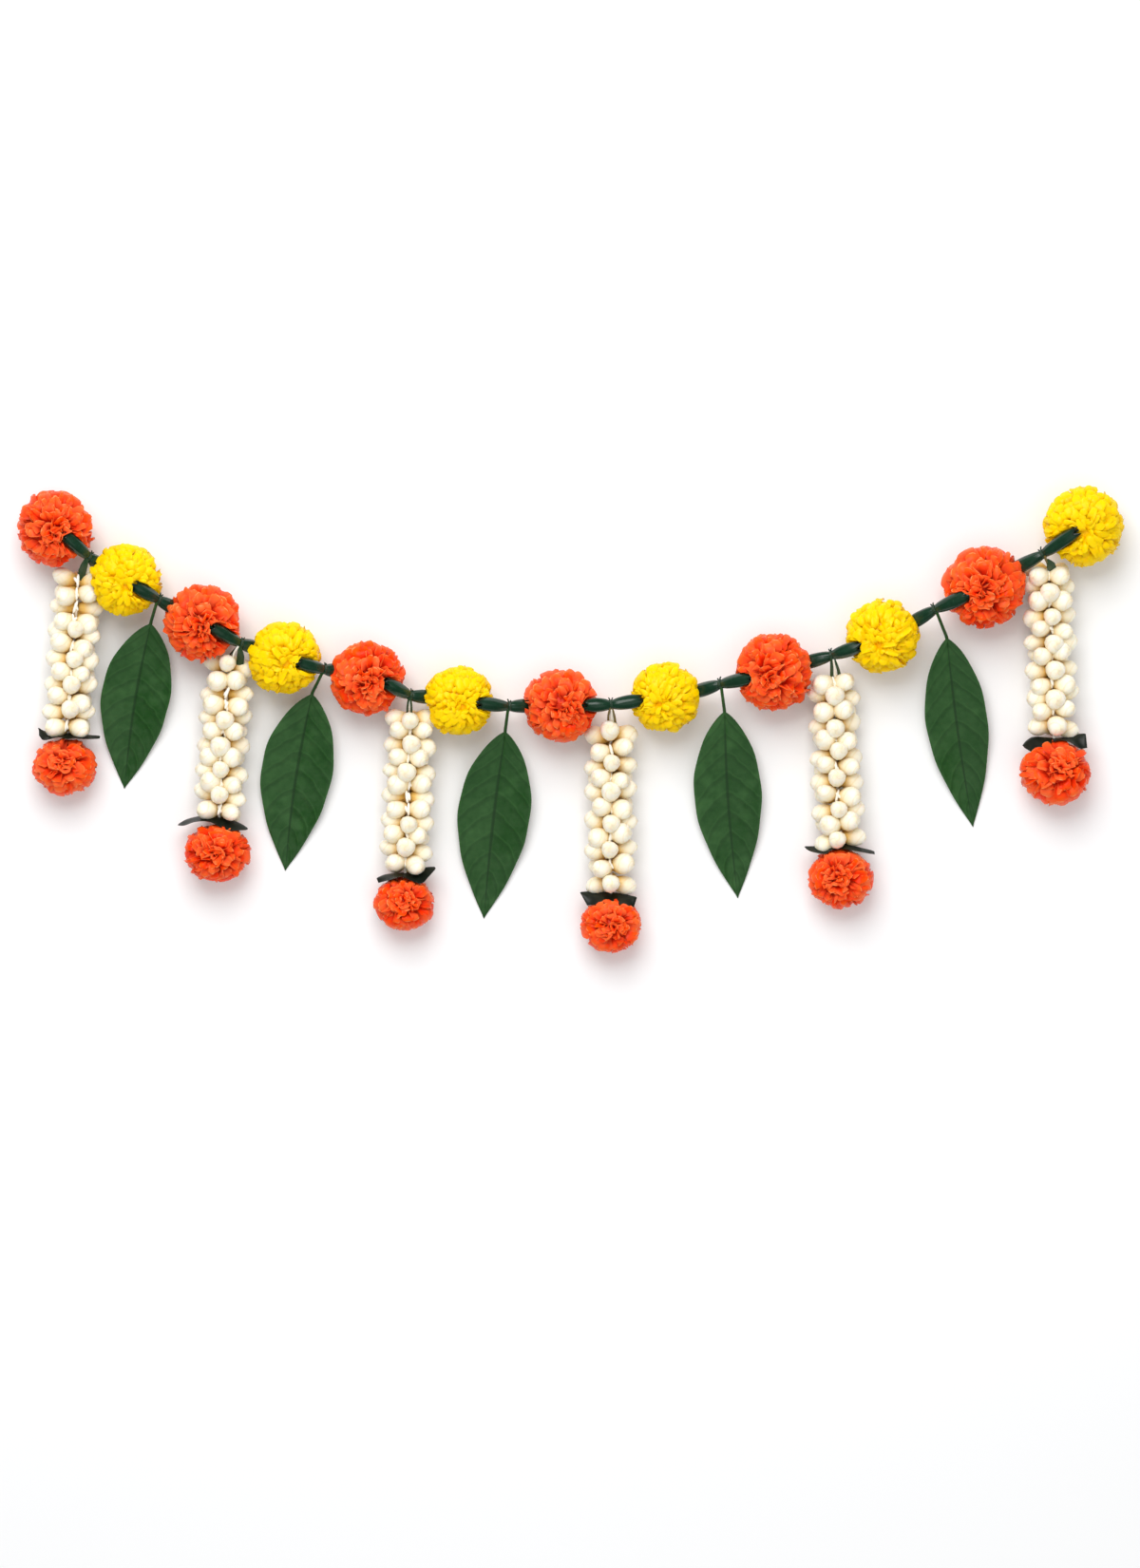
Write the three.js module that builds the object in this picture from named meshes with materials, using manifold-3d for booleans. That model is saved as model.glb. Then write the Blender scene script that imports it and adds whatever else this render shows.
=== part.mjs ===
// Door garland (toran): twelve marigold heads, orange and yellow by turns, strung on one cord between
// pinched green sleeves. At each pinch hangs a pendant: a jasmine-bud tassel that ends in a dark leaf cap
// and a small marigold, or a single long leaf. The garland lies face up on a flat surface.
//
// Frame: +X to the right along the garland, +Y up towards the cord's ends, +Z up off the surface at Z = 0.
// Units: millimetres and degrees.
import * as THREE from "three";
import { mergeVertices } from "three/addons/utils/BufferGeometryUtils.js";
import Module from "manifold-3d";

const wasm = await Module();
wasm.setup();

// ---- Driving dimensions ----

// The cord lies along a parabola.
const HALF_SPAN = 433; // half the width between the centres of the two end heads
const SAG = 149; // from the parabola's lowest point up to the height of its ends
const INWARD_HEADS = 7; // this many heads from the left face right, and the rest face left

// Each head's place to the right of the lowest point, its diameter, how far from its centre the sleeve
// leaves its face, and how far above the parabola it was laid.
const HEADS = [
  { x: -426, size: 65, reach: 11, lie: 5 },
  { x: -368, size: 63, reach: 10, lie: -2 },
  { x: -302, size: 66, reach: 9, lie: -3 },
  { x: -234, size: 63, reach: 13, lie: -3 },
  { x: -164, size: 63, reach: 16, lie: 2 },
  { x: -87, size: 60, reach: 16, lie: -2 },
  { x: -1, size: 63, reach: 20, lie: 0 },
  { x: 87, size: 62, reach: 20, lie: 1 },
  { x: 178, size: 67, reach: 19, lie: 3 },
  { x: 270, size: 65, reach: 21, lie: 0 },
  { x: 355, size: 69, reach: 16, lie: 0 },
  { x: 439, size: 68, reach: 9, lie: -2 },
];

// One pendant for each link. "at" is the knot's share of the link and "drop" its distance below it; the
// stalk is "hang" long and leans by "swing", and what it carries leans by "lean". Leans are to the left.
const PENDANTS = [
  { kind: "tassel", at: 0.49, drop: 3, hang: 16, swing: 36, lean: 4, column: 136, head: 54, arch: -3 },
  { kind: "leaf", at: 0.44, drop: 1, hang: 21, swing: 21, lean: 9.7, length: 141, width: 58 },
  { kind: "tassel", at: 0.47, drop: 4, hang: 16, swing: 41, lean: 3.5, column: 136, head: 55, arch: 6 },
  { kind: "leaf", at: 0.49, drop: 2, hang: 23, swing: 28, lean: 9, length: 151, width: 60 },
  { kind: "tassel", at: 0.47, drop: 6, hang: 13, swing: -5, lean: 2.2, column: 137, head: 50, arch: 5 },
  { kind: "leaf", at: 0.49, drop: 3, hang: 21, swing: 8, lean: 6.6, length: 159, width: 61 },
  { kind: "tassel", at: 0.48, drop: 3, hang: 19, swing: 0, lean: 0, column: 141, head: 50, arch: -2 },
  { kind: "leaf", at: 0.51, drop: 0, hang: 23, swing: -9, lean: -4.3, length: 158, width: 57 },
  { kind: "tassel", at: 0.53, drop: 2, hang: 16, swing: -5, lean: -2.3, column: 145, head: 53, arch: 1 },
  { kind: "leaf", at: 0.51, drop: -1, hang: 26, swing: -25, lean: -8.4, length: 161, width: 52 },
  { kind: "tassel", at: 0.58, drop: 3, hang: 11, swing: -30, lean: -2.1, column: 145, head: 58, arch: -1 },
];

const GAP = 0.35; // between pieces that touch

// Heads
const HEAD_FLAT = 2.5; // how far a main head is flattened where it rests
const END_HEAD_FLAT = 3; // the same on a tassel's head
const HEAD_ASPECT = 0.94; // a head's thickness along its thread over its diameter
const END_HEAD_ASPECT = 0.88;
const PETALS_ROUND = 7; // petals in each ring round the thread
const PETAL_LAYERS = 7;
const RUFFLE = 0.08; // depth of the gaps between petals over the radius
const EXIT_DEPTH = 0.84; // from a head's centre to the sleeve's mouth in its face, over the radius
const ENTRY_DEPTH = 0.68; // from its centre to the sleeve's mouth in its back, over the radius
const ENTRY_FALL = 5; // how far that mouth lies below the centre

// Cord and sleeves
const CORD_RADIUS = 1;
const SLEEVE_BORE_RADIUS = CORD_RADIUS + 2 * GAP;
const HEAD_BORE_RADIUS = CORD_RADIUS + 3 * GAP;
const END_KNOT_RADIUS = 2.4;
const END_KNOT_LENGTH = 4;
const WAIST_RADIUS = 2.5; // a sleeve at its knot
const BELLY_RADIUS = 6.4; // at its widest
const MOUTH_RADIUS = 5.2; // at its ends
const BELLY_AT = 0.7; // the widest place, over the length from knot to mouth
const CORD_LEAD = 3; // how far the cord runs straight on past a sleeve's mouth

// Ties and hangers
const WIRE_RADIUS = 1.1;
const RING_RADIUS = WAIST_RADIUS + GAP + WIRE_RADIUS; // to the middle of the wire round the waist

// Tassels
const WHORLS = 12; // rings of four buds along the column
const BUD_RADIUS = 7;
const COLUMN_RADIUS = 22; // from the core to a bud's tip
const BUD_CENTRE = COLUMN_RADIUS - BUD_RADIUS;
const CORE_CORNER = 1.7; // from the core's middle to a corner of its square section
const CORE_LEAD = 2; // the core's length beyond its buds, and past its marigold's centre
const CAP_WIDTH = 56;
const CAP_HEIGHT = 36;
const CAP_THICKNESS = 0.9;

// Leaves
const BLADE_THICKNESS = 0.8;
const BLADE_BASE_HEIGHT = 22; // of the blade's base above the surface
const BLADE_FOLD = 3.5; // how far the margins stand above the midrib
const MIDRIB_HEIGHT = 0.6;
const BLADE_BASE_POWER = 0.8; // the outline widens from its base as this power of the share along it
const BLADE_TIP_POWER = 1.06; // and narrows to its tip as this power of the share left
const PETIOLE_RADIUS = 1.4;

// ---- Materials ----

const matt = (color, roughness) => new THREE.MeshStandardMaterial({ color, roughness, metalness: 0 });
const orangePetals = matt(0xf4511e, 0.55);
const yellowPetals = matt(0xffd400, 0.5);
const sleeveGreen = matt(0x1f3d2b, 0.35);
const wireGreen = matt(0x24422c, 0.5);
const leafGreen = matt(0x2a5a34, 0.45);
const capGreen = matt(0x1c2a1e, 0.5);
const budIvory = matt(0xf1ead6, 0.7);

// ---- Geometry helpers ----

const UP = new THREE.Vector3(0, 0, 1);
const point = (x, y, z) => new THREE.Vector3(x, y, z);
const radians = THREE.MathUtils.degToRad;
const mix = THREE.MathUtils.lerp;

/** A closed BufferGeometry as a solid that can be joined and cut. */
function solidOf(geometry) {
  const bare = new THREE.BufferGeometry();
  bare.setAttribute("position", geometry.getAttribute("position"));
  bare.setIndex(geometry.index);
  const merged = mergeVertices(bare, 1e-4);
  return new wasm.Manifold(
    new wasm.Mesh({
      numProp: 3,
      vertProperties: new Float32Array(merged.getAttribute("position").array),
      triVerts: new Uint32Array(merged.index.array),
    }),
  );
}

/** A solid's surface as a BufferGeometry. */
function geometryOf(solid) {
  const mesh = solid.getMesh();
  const corners = new Float32Array(mesh.numVert * 3);
  for (let i = 0; i < mesh.numVert; i++) {
    corners.set(mesh.vertProperties.subarray(i * mesh.numProp, i * mesh.numProp + 3), i * 3);
  }
  const geometry = new THREE.BufferGeometry();
  geometry.setAttribute("position", new THREE.BufferAttribute(corners, 3));
  geometry.setIndex(new THREE.BufferAttribute(new Uint32Array(mesh.triVerts), 1));
  geometry.computeVertexNormals();
  return geometry;
}

/** Several closed geometries joined into one. */
function join(geometries) {
  return geometryOf(geometries.map(solidOf).reduce((whole, piece) => whole.add(piece)));
}

/** Moves each vertex of a geometry to where place(vertex) puts it. */
function warp(geometry, place) {
  const position = geometry.getAttribute("position");
  for (let i = 0; i < position.count; i++) {
    const moved = place(new THREE.Vector3().fromBufferAttribute(position, i));
    position.setXYZ(i, moved.x, moved.y, moved.z);
  }
  geometry.computeVertexNormals();
  return geometry;
}

/** A closed tube with one ring of vertices at each point, and a radius for each ring. */
function tube(points, radii, sides) {
  const rings = points.map((centre, i) => {
    const back = points[Math.max(i - 1, 0)];
    const ahead = points[Math.min(i + 1, points.length - 1)];
    const along = ahead.clone().sub(centre).normalize().add(centre.clone().sub(back).normalize());
    along.normalize();
    const across = new THREE.Vector3().crossVectors(along, UP).normalize();
    const over = new THREE.Vector3().crossVectors(across, along);
    return { centre, across, over, radius: radii[i] };
  });
  const last = points.length - 1;
  return warp(new THREE.CylinderGeometry(1, 1, last, sides, last), (v) => {
    const ring = rings[Math.round(v.y + last / 2)];
    return ring.centre
      .clone()
      .addScaledVector(ring.across, v.x * ring.radius)
      .addScaledVector(ring.over, v.z * ring.radius);
  });
}

/** A closed tube of one radius. */
const wire = (points, radius, sides = 6) => tube(points, points.map(() => radius), sides);

/** Cuts geometries given in the garland's frame out of a placed mesh. */
function carve(mesh, cutters) {
  mesh.updateWorldMatrix(true, false);
  const toLocal = mesh.matrixWorld.clone().invert();
  const remaining = cutters.reduce(
    (solid, cutter) => solid.subtract(solidOf(cutter.clone().applyMatrix4(toLocal))),
    solidOf(mesh.geometry),
  );
  mesh.geometry = geometryOf(remaining);
}

/** The point a given share of the way from one point to another. */
const between = (a, b, share) => new THREE.Vector3().lerpVectors(a, b, share);

/** The point that lies a distance past b on the line from a to b. */
const beyond = (a, b, distance) => b.clone().addScaledVector(b.clone().sub(a).normalize(), distance);

/** The direction in the surface's plane that leans to the left of straight down. */
const downwards = (lean) => point(-Math.sin(radians(lean)), -Math.cos(radians(lean)), 0);

const garland = new THREE.Group();
garland.name = "door_garland";

function addMesh(parent, name, geometry, material) {
  const mesh = new THREE.Mesh(geometry, material);
  mesh.name = name;
  parent.add(mesh);
  return mesh;
}

// ---- The cord's route ----

const rise = (x) => SAG * (x / HALF_SPAN) ** 2;
const slope = (x) => (2 * SAG * x) / HALF_SPAN ** 2;

/** Where each head lies, and where the cord passes through its left and right sides. */
const heads = HEADS.map(({ x, size, reach, lie }, i) => {
  const radius = size / 2;
  const centre = point(x, rise(x) + lie, radius - HEAD_FLAT);
  const facesRight = i < INWARD_HEADS;
  const along = point(1, slope(x), 0).normalize().multiplyScalar(facesRight ? 1 : -1);
  const exit = centre
    .clone()
    .addScaledVector(along, reach)
    .addScaledVector(UP, Math.sqrt((EXIT_DEPTH * radius) ** 2 - reach ** 2));
  const entry = centre
    .clone()
    .addScaledVector(along, -ENTRY_DEPTH * radius)
    .addScaledVector(UP, -ENTRY_FALL);
  const [left, right] = facesRight ? [entry, exit] : [exit, entry];
  return { radius, centre, exit, entry, left, right };
});

/** Each link's knot, the sleeve mouths on either side of it, and where the cord bends past them. */
const links = PENDANTS.map(({ at, drop }, i) => {
  const mouths = [heads[i].right, heads[i + 1].left];
  const knot = between(heads[i].centre, heads[i + 1].centre, at);
  knot.y -= drop;
  knot.z = (mouths[0].z + mouths[1].z) / 2;
  return { mouths, knot, leads: mouths.map((mouth) => beyond(knot, mouth, CORD_LEAD)) };
});

// ---- Cord ----

/** The cord through every head and sleeve, with a stopper knot at each end. */
function addCord() {
  const through = links.flatMap(({ leads, knot }) => [leads[0], knot, leads[1]]);
  const [first, last] = [heads[0].left, heads[heads.length - 1].right];
  const route = [first, ...through, last];
  const leftKnot = [END_KNOT_LENGTH, GAP].map((past) => beyond(through[0], first, past));
  const rightKnot = [GAP, END_KNOT_LENGTH].map((past) => beyond(through[through.length - 1], last, past));
  const radii = [
    ...leftKnot.map(() => END_KNOT_RADIUS),
    ...route.map(() => CORD_RADIUS),
    ...rightKnot.map(() => END_KNOT_RADIUS),
  ];
  addMesh(garland, "main_cord", tube([...leftKnot, ...route, ...rightKnot], radii, 6), wireGreen);
}

// ---- Sleeves ----

/** A sleeve's radius at a share of the way from its knot to its mouth. */
function sleeveRadius(share) {
  if (share < BELLY_AT) {
    return mix(WAIST_RADIUS, BELLY_RADIUS, (1 - Math.cos((Math.PI * share) / BELLY_AT)) / 2);
  }
  return mix(BELLY_RADIUS, MOUTH_RADIUS, ((share - BELLY_AT) / (1 - BELLY_AT)) ** 2);
}

/** The two spindles of a sleeve, joined at its waist. */
function sleeveShape({ mouths, knot }) {
  const stations = [0.12, 0.3, 0.48, BELLY_AT, 1];
  const half = (mouth) => stations.map((share) => between(knot, mouth, share));
  const radii = stations.map(sleeveRadius);
  return tube(
    [...half(mouths[0]).reverse(), knot, ...half(mouths[1])],
    [...radii.toReversed(), WAIST_RADIUS, ...radii],
    7,
  );
}

function addSleeve(link, number) {
  const sleeve = addMesh(garland, `sleeve_${number}`, sleeveShape(link), sleeveGreen);
  carve(sleeve, [wire([link.leads[0], link.knot, link.leads[1]], SLEEVE_BORE_RADIUS)]);
}

// ---- Marigold heads ----

/** A ball of petals round its thread, which is the Y axis: ring by ring the petals stand out and in. */
function petalBall(radius, aspect) {
  return warp(new THREE.SphereGeometry(radius, 2 * PETALS_ROUND, PETAL_LAYERS), (v) => {
    const fromPole = Math.acos(THREE.MathUtils.clamp(v.y / radius, -1, 1));
    const layer = Math.round((fromPole * PETAL_LAYERS) / Math.PI);
    const wave = Math.cos(PETALS_ROUND * Math.atan2(v.z, v.x) + Math.PI * layer);
    const depth = 1 + (RUFFLE / 2) * wave * Math.sin(fromPole);
    return point(v.x * depth, v.y * aspect, v.z * depth);
  });
}

/** The space under the surface that the garland rests on. */
function ground() {
  const depth = 100;
  return new THREE.BoxGeometry(2000, 2000, depth).translate(0, 0, -depth / 2);
}

/** The hollow that a sleeve presses into a head, from just past its mouth to its knot. */
const sleeveHollow = (mouth, knot) => wire([beyond(knot, mouth, GAP), knot], BELLY_RADIUS + GAP, 7);

/** The hollow for a stopper knot, which runs on out of the head. */
const knotHollow = (mouth, outside) => wire([mouth, outside], END_KNOT_RADIUS + GAP);

function addHead(head, index) {
  const ball = addMesh(
    garland,
    `marigold_${index + 1}`,
    petalBall(head.radius, HEAD_ASPECT),
    index % 2 ? yellowPetals : orangePetals,
  );
  const thread = head.exit.clone().sub(head.entry).normalize();
  ball.position.copy(head.centre);
  ball.quaternion.setFromUnitVectors(point(0, 1, 0), thread);

  const before = links[index - 1];
  const after = links[index];
  const toLeft = before
    ? [before.knot, before.leads[1]]
    : [beyond(after.leads[0], head.left, head.radius)];
  const toRight = after
    ? [after.leads[0], after.knot]
    : [beyond(before.leads[1], head.right, head.radius)];
  carve(ball, [
    ground(),
    before ? sleeveHollow(head.left, before.knot) : knotHollow(head.left, toLeft[0]),
    after ? sleeveHollow(head.right, after.knot) : knotHollow(head.right, toRight[0]),
    wire([...toLeft, ...toRight], HEAD_BORE_RADIUS, 5),
    ...pendantsAgainst(head),
  ]);
}

// ---- Tassels ----

/** A tassel's own frame: +X down its core from where the hanger ends, +Z up off the surface. */
function tasselFrame(pendant, knot) {
  const start = knot.clone().addScaledVector(downwards(pendant.swing), pendant.hang).setZ(0);
  const down = downwards(pendant.lean);
  return new THREE.Matrix4().makeRotationZ(Math.atan2(down.y, down.x)).setPosition(start);
}

const headRadius = (pendant) => pendant.head / 2;
const headAlong = (pendant) => pendant.column + END_HEAD_ASPECT * headRadius(pendant) + 4;
const headHeight = (pendant) => headRadius(pendant) - END_HEAD_FLAT;

/** The height of a tassel's core, which rises evenly from its first buds to its marigold. */
function coreHeight(pendant, x) {
  return mix(COLUMN_RADIUS, headHeight(pendant), x / headAlong(pendant));
}

/** The middle line of a hanger, from the ring round the sleeve's waist to the top of the tassel's core. */
function hangerRoute(pendant, knot) {
  const frame = tasselFrame(pendant, knot);
  const start = knot.clone().addScaledVector(downwards(pendant.swing), RING_RADIUS);
  const foot = [-7, -CORE_LEAD - GAP].map((x) => point(x, 0, coreHeight(pendant, x)).applyMatrix4(frame));
  return [start, ...foot];
}

/** The dents that neighbouring hangers and bud columns press into a head. */
function pendantsAgainst(head) {
  const dents = [];
  PENDANTS.forEach((pendant, i) => {
    if (pendant.kind !== "tassel") return;
    const { knot } = links[i];
    const frame = tasselFrame(pendant, knot);
    const column = [0, pendant.column].map((x) =>
      point(x, 0, coreHeight(pendant, x)).applyMatrix4(frame),
    );
    const neighbours = [
      { route: hangerRoute(pendant, knot), radius: 2 * WIRE_RADIUS + 2 * GAP, sides: 6 },
      { route: column, radius: (COLUMN_RADIUS + GAP) / Math.cos(Math.PI / 10), sides: 10 },
    ];
    neighbours.forEach(({ route, radius, sides }) => {
      const ends = new THREE.Line3(route[0], route[route.length - 1]);
      const nearest = ends.closestPointToPoint(head.centre, true, point(0, 0, 0));
      if (nearest.distanceTo(head.centre) < head.radius + radius) {
        dents.push(wire(route, radius, sides));
      }
    });
  });
  return dents;
}

/** A closed surface built from rings of four corners, each ring running anticlockwise seen from ahead. */
class SquareLoft {
  corners = [];
  faces = [];

  /** Four corners at a distance from a centre, the first halfway from u to v. */
  ring(centre, u, v, distance, turn = 0) {
    return [0.5, 1.5, 2.5, 3.5].map((quarter) => {
      const angle = turn + (quarter * Math.PI) / 2;
      const corner = centre.clone().addScaledVector(u, distance * Math.cos(angle));
      return this.corners.push(corner.addScaledVector(v, distance * Math.sin(angle))) - 1;
    });
  }

  /** The four walls from one ring to the next. */
  walls(ring, ahead) {
    ring.forEach((corner, side) => {
      const next = (side + 1) % 4;
      this.faces.push(corner, ring[next], ahead[next], corner, ahead[next], ahead[side]);
    });
  }

  /** The flat end of a ring. */
  end([a, b, c, d]) {
    this.faces.push(a, b, c, a, c, d);
  }

  /** The four faces from a ring to a point. */
  peak(ring, tip) {
    const last = this.corners.push(tip) - 1;
    ring.forEach((corner, side) => this.faces.push(corner, ring[(side + 1) % 4], last));
  }

  geometry() {
    const geometry = new THREE.BufferGeometry().setFromPoints(this.corners);
    geometry.setIndex(this.faces);
    geometry.computeVertexNormals();
    return geometry;
  }
}

/** A bud that swells from one wall of the core, whose four corners are its root, and closes to a point. */
function growBud(loft, root, core, angle) {
  const out = point(0, Math.cos(angle), Math.sin(angle));
  const across = point(0, Math.sin(angle), -Math.cos(angle));
  const back = point(-1, 0, 0);
  const at = (distance) => core.clone().addScaledVector(out, distance);
  const belly = loft.ring(at(BUD_CENTRE - 0.1 * BUD_RADIUS), across, back, 1.06 * BUD_RADIUS);
  const shoulder = loft.ring(at(BUD_CENTRE + 0.65 * BUD_RADIUS), across, back, 0.85 * BUD_RADIUS);
  loft.walls(root, belly);
  loft.walls(belly, shoulder);
  loft.peak(shoulder, at(COLUMN_RADIUS));
}

/** The square core thread with its whorls of four buds, turned an eighth from one whorl to the next. */
function budString(pendant) {
  const loft = new SquareLoft();
  const corePoint = (x) => point(x, 0, coreHeight(pendant, x));
  const coreRing = (x, turn) => loft.ring(corePoint(x), point(0, 1, 0), UP, CORE_CORNER, turn);
  const pitch = (pendant.column - 2 * BUD_RADIUS) / (WHORLS - 1);
  let behind = coreRing(-CORE_LEAD, 0);
  loft.end(behind.toReversed());
  for (let whorl = 0; whorl < WHORLS; whorl++) {
    const x = BUD_RADIUS + whorl * pitch;
    const turn = ((whorl % 2) * Math.PI) / 4;
    const near = coreRing(x - CORE_CORNER, turn);
    const far = coreRing(x + CORE_CORNER, turn);
    loft.walls(behind, near);
    [0, 1, 2, 3].forEach((side) => {
      const next = (side + 1) % 4;
      const root = [near[side], near[next], far[next], far[side]];
      growBud(loft, root, corePoint(x), turn + ((side + 1) * Math.PI) / 2);
    });
    behind = far;
  }
  const foot = coreRing(headAlong(pendant) + CORE_LEAD, 0);
  loft.walls(behind, foot);
  loft.end(foot);
  return loft.geometry();
}

/** The dark leaf that caps the marigold: wide, pointed at both ends, and draped over the crown. */
function capShape(pendant) {
  const radius = headRadius(pendant);
  const crown = headAlong(pendant) - END_HEAD_ASPECT * radius;
  const steps = { thickness: 1, width: 7, height: 3 };
  const slab = new THREE.BoxGeometry(1, 2, 2, steps.thickness, steps.width, steps.height);
  return warp(slab, ({ x, y, z }) => {
    const across = (y * CAP_WIDTH) / 2;
    const upright = (z * CAP_HEIGHT * Math.max(1 - Math.abs(y) ** 2.4, 0.12)) / 2;
    const out = Math.min(Math.abs(upright), 0.8 * radius);
    const drape = END_HEAD_ASPECT * (radius - Math.sqrt(radius ** 2 - out ** 2));
    return point(
      crown - 1.6 + CAP_THICKNESS * x + 0.9 * drape + pendant.arch * y * y,
      across,
      headHeight(pendant) + upright,
    );
  });
}

/** The hole that the core thread passes through. */
function coreBore(pendant, from, to) {
  const ends = [from, to].map((x) => point(x, 0, coreHeight(pendant, x)));
  return wire(ends, CORE_CORNER + 2 * GAP, 5);
}

/** A wire looped round the sleeve's waist, and its two ends side by side down to the tassel's core. */
function hangerShape(pendant, knot, waist) {
  const [start, ...foot] = hangerRoute(pendant, knot);
  const down = downwards(pendant.lean);
  const across = point(-down.y, down.x, 0);
  const strands = [-1, 1].map((side) => {
    const offset = side * 0.95 * WIRE_RADIUS;
    const top = start.clone().addScaledVector(waist, offset);
    return wire([top, ...foot.map((v) => v.clone().addScaledVector(across, offset))], WIRE_RADIUS, 5);
  });
  return join([ringShape(knot, waist), ...strands]);
}

/** A ring of wire round a sleeve's waist. */
function ringShape(knot, waist) {
  const ring = new THREE.TorusGeometry(RING_RADIUS, WIRE_RADIUS, 5, 10);
  const turn = new THREE.Quaternion().setFromUnitVectors(UP, waist);
  return ring.applyQuaternion(turn).translate(knot.x, knot.y, knot.z);
}

function addTassel(pendant, { knot }, waist, number) {
  const frame = tasselFrame(pendant, knot);
  addMesh(garland, `hanger_${number}`, hangerShape(pendant, knot, waist), wireGreen);

  const tassel = new THREE.Group();
  tassel.applyMatrix4(frame);
  garland.add(tassel);
  addMesh(tassel, `bud_string_${number}`, budString(pendant), budIvory);

  const cap = addMesh(tassel, `leaf_cap_${number}`, capShape(pendant), capGreen);
  const ball = petalBall(headRadius(pendant), END_HEAD_ASPECT).rotateZ(Math.PI / 2);
  const end = addMesh(tassel, `end_marigold_${number}`, ball, orangePetals);
  end.position.set(headAlong(pendant), 0, headHeight(pendant));

  const bore = coreBore(pendant, pendant.column - 10, headAlong(pendant) + 2 * CORE_LEAD).applyMatrix4(frame);
  carve(cap, [bore]);
  carve(end, [ground(), bore]);
}

// ---- Leaves ----

/** A blade's width at a share of its length, over its greatest width: full below the base, then tapering. */
function bladeOutline(share) {
  const shape = (u) => u ** BLADE_BASE_POWER * (1 - u) ** BLADE_TIP_POWER;
  return shape(share) / shape(BLADE_BASE_POWER / (BLADE_BASE_POWER + BLADE_TIP_POWER));
}

/** The height of a blade's midrib above the surface: it leaves the petiole and settles towards the tip. */
const midribHeight = (share) => BLADE_THICKNESS / 2 + BLADE_BASE_HEIGHT * (1 - share) ** 1.7;

/** A blade along +X from its base, folded a little along its raised midrib. */
function bladeShape({ length, width }) {
  const steps = { along: 11, across: 4 };
  const slab = new THREE.BoxGeometry(1, 2, 1, steps.along, steps.across, 1).translate(0.5, 0, 0);
  return warp(slab, ({ x, y, z }) => {
    const half = Math.max((bladeOutline(x) * width) / 2, 0.6);
    const fold = BLADE_FOLD * Math.abs(y) ** 1.3 * Math.sin(Math.PI * x);
    const rib = y === 0 && z > 0 ? MIDRIB_HEIGHT * (1 - x) : 0;
    return point(x * length, y * half, midribHeight(x) + fold + rib + z * BLADE_THICKNESS);
  });
}

function addLeaf(pendant, { knot }, waist, number) {
  addMesh(garland, `leaf_tie_${number}`, ringShape(knot, waist), wireGreen);

  const swing = downwards(pendant.swing);
  const down = downwards(pendant.lean);
  const base = knot.clone().addScaledVector(swing, pendant.hang).setZ(0);
  const frame = new THREE.Matrix4().makeRotationZ(Math.atan2(down.y, down.x)).setPosition(base);
  const leaf = new THREE.Group();
  leaf.applyMatrix4(frame);
  garland.add(leaf);

  const toLeaf = frame.clone().invert();
  const top = knot.clone().addScaledVector(swing, RING_RADIUS + WIRE_RADIUS + 2 * GAP).applyMatrix4(toLeaf);
  const share = (x) => x / pendant.length;
  const root = point(3, 0, midribHeight(share(3)));
  const neck = between(top, root, 0.55).setZ(mix(top.z, root.z, 0.45));
  const foot = point(12, 0, midribHeight(share(12)) + 0.2);
  const petiole = tube(
    [top, neck, root, foot],
    [PETIOLE_RADIUS, PETIOLE_RADIUS, PETIOLE_RADIUS, 0.6 * PETIOLE_RADIUS],
    5,
  );
  addMesh(leaf, `leaf_${number}`, join([bladeShape(pendant), petiole]), leafGreen);
}

// ---- Assembly ----

addCord();
heads.forEach(addHead);
links.forEach((link, i) => {
  const pendant = PENDANTS[i];
  const number = i + 1;
  const waist = link.mouths[1].clone().sub(link.mouths[0]).normalize();
  addSleeve(link, number);
  const addPendant = pendant.kind === "tassel" ? addTassel : addLeaf;
  addPendant(pendant, link, waist, number);
});

// The origin is the middle of the garland's outline, on the surface that it rests on.
garland.updateMatrixWorld(true);
const outline = new THREE.Box3().setFromObject(garland, true);
const middle = outline.getCenter(new THREE.Vector3());
garland.position.set(-middle.x, -middle.y, 0);

export default garland;
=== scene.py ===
"""A door garland laid out flat, with the looks of every piece.

Ruffled marigold heads are strung between pinched green sleeves. At the pinches hang tassels of ivory buds,
each ending in a dark leaf cap and a small marigold, and long green leaves.

Sizes are in millimetres and angles in degrees, and a mesh gets its corners in metres. +X runs along the
garland, +Y towards the cord's ends, and +Z up off the floor.
"""

import logging
from dataclasses import dataclass, field, replace
from enum import Enum
from functools import cache

import bpy
import numpy as np
from mathutils import Matrix, Vector


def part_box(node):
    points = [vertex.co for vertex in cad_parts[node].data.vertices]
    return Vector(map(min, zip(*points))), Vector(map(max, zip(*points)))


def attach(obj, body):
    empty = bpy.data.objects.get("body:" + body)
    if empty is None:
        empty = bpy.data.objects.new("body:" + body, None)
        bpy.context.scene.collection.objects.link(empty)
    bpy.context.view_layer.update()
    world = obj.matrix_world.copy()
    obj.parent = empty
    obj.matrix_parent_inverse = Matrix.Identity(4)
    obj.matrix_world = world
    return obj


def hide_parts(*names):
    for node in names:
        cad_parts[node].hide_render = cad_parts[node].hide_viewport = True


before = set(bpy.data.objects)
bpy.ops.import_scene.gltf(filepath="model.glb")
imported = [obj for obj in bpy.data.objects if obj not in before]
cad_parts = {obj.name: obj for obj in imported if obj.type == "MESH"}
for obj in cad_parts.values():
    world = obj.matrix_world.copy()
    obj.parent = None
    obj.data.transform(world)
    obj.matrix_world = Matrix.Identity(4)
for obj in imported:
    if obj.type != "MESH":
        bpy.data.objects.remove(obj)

log = logging.getLogger("door_garland")

Array = np.ndarray
Colour = tuple[float, float, float]
Socket = bpy.types.NodeSocket

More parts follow.
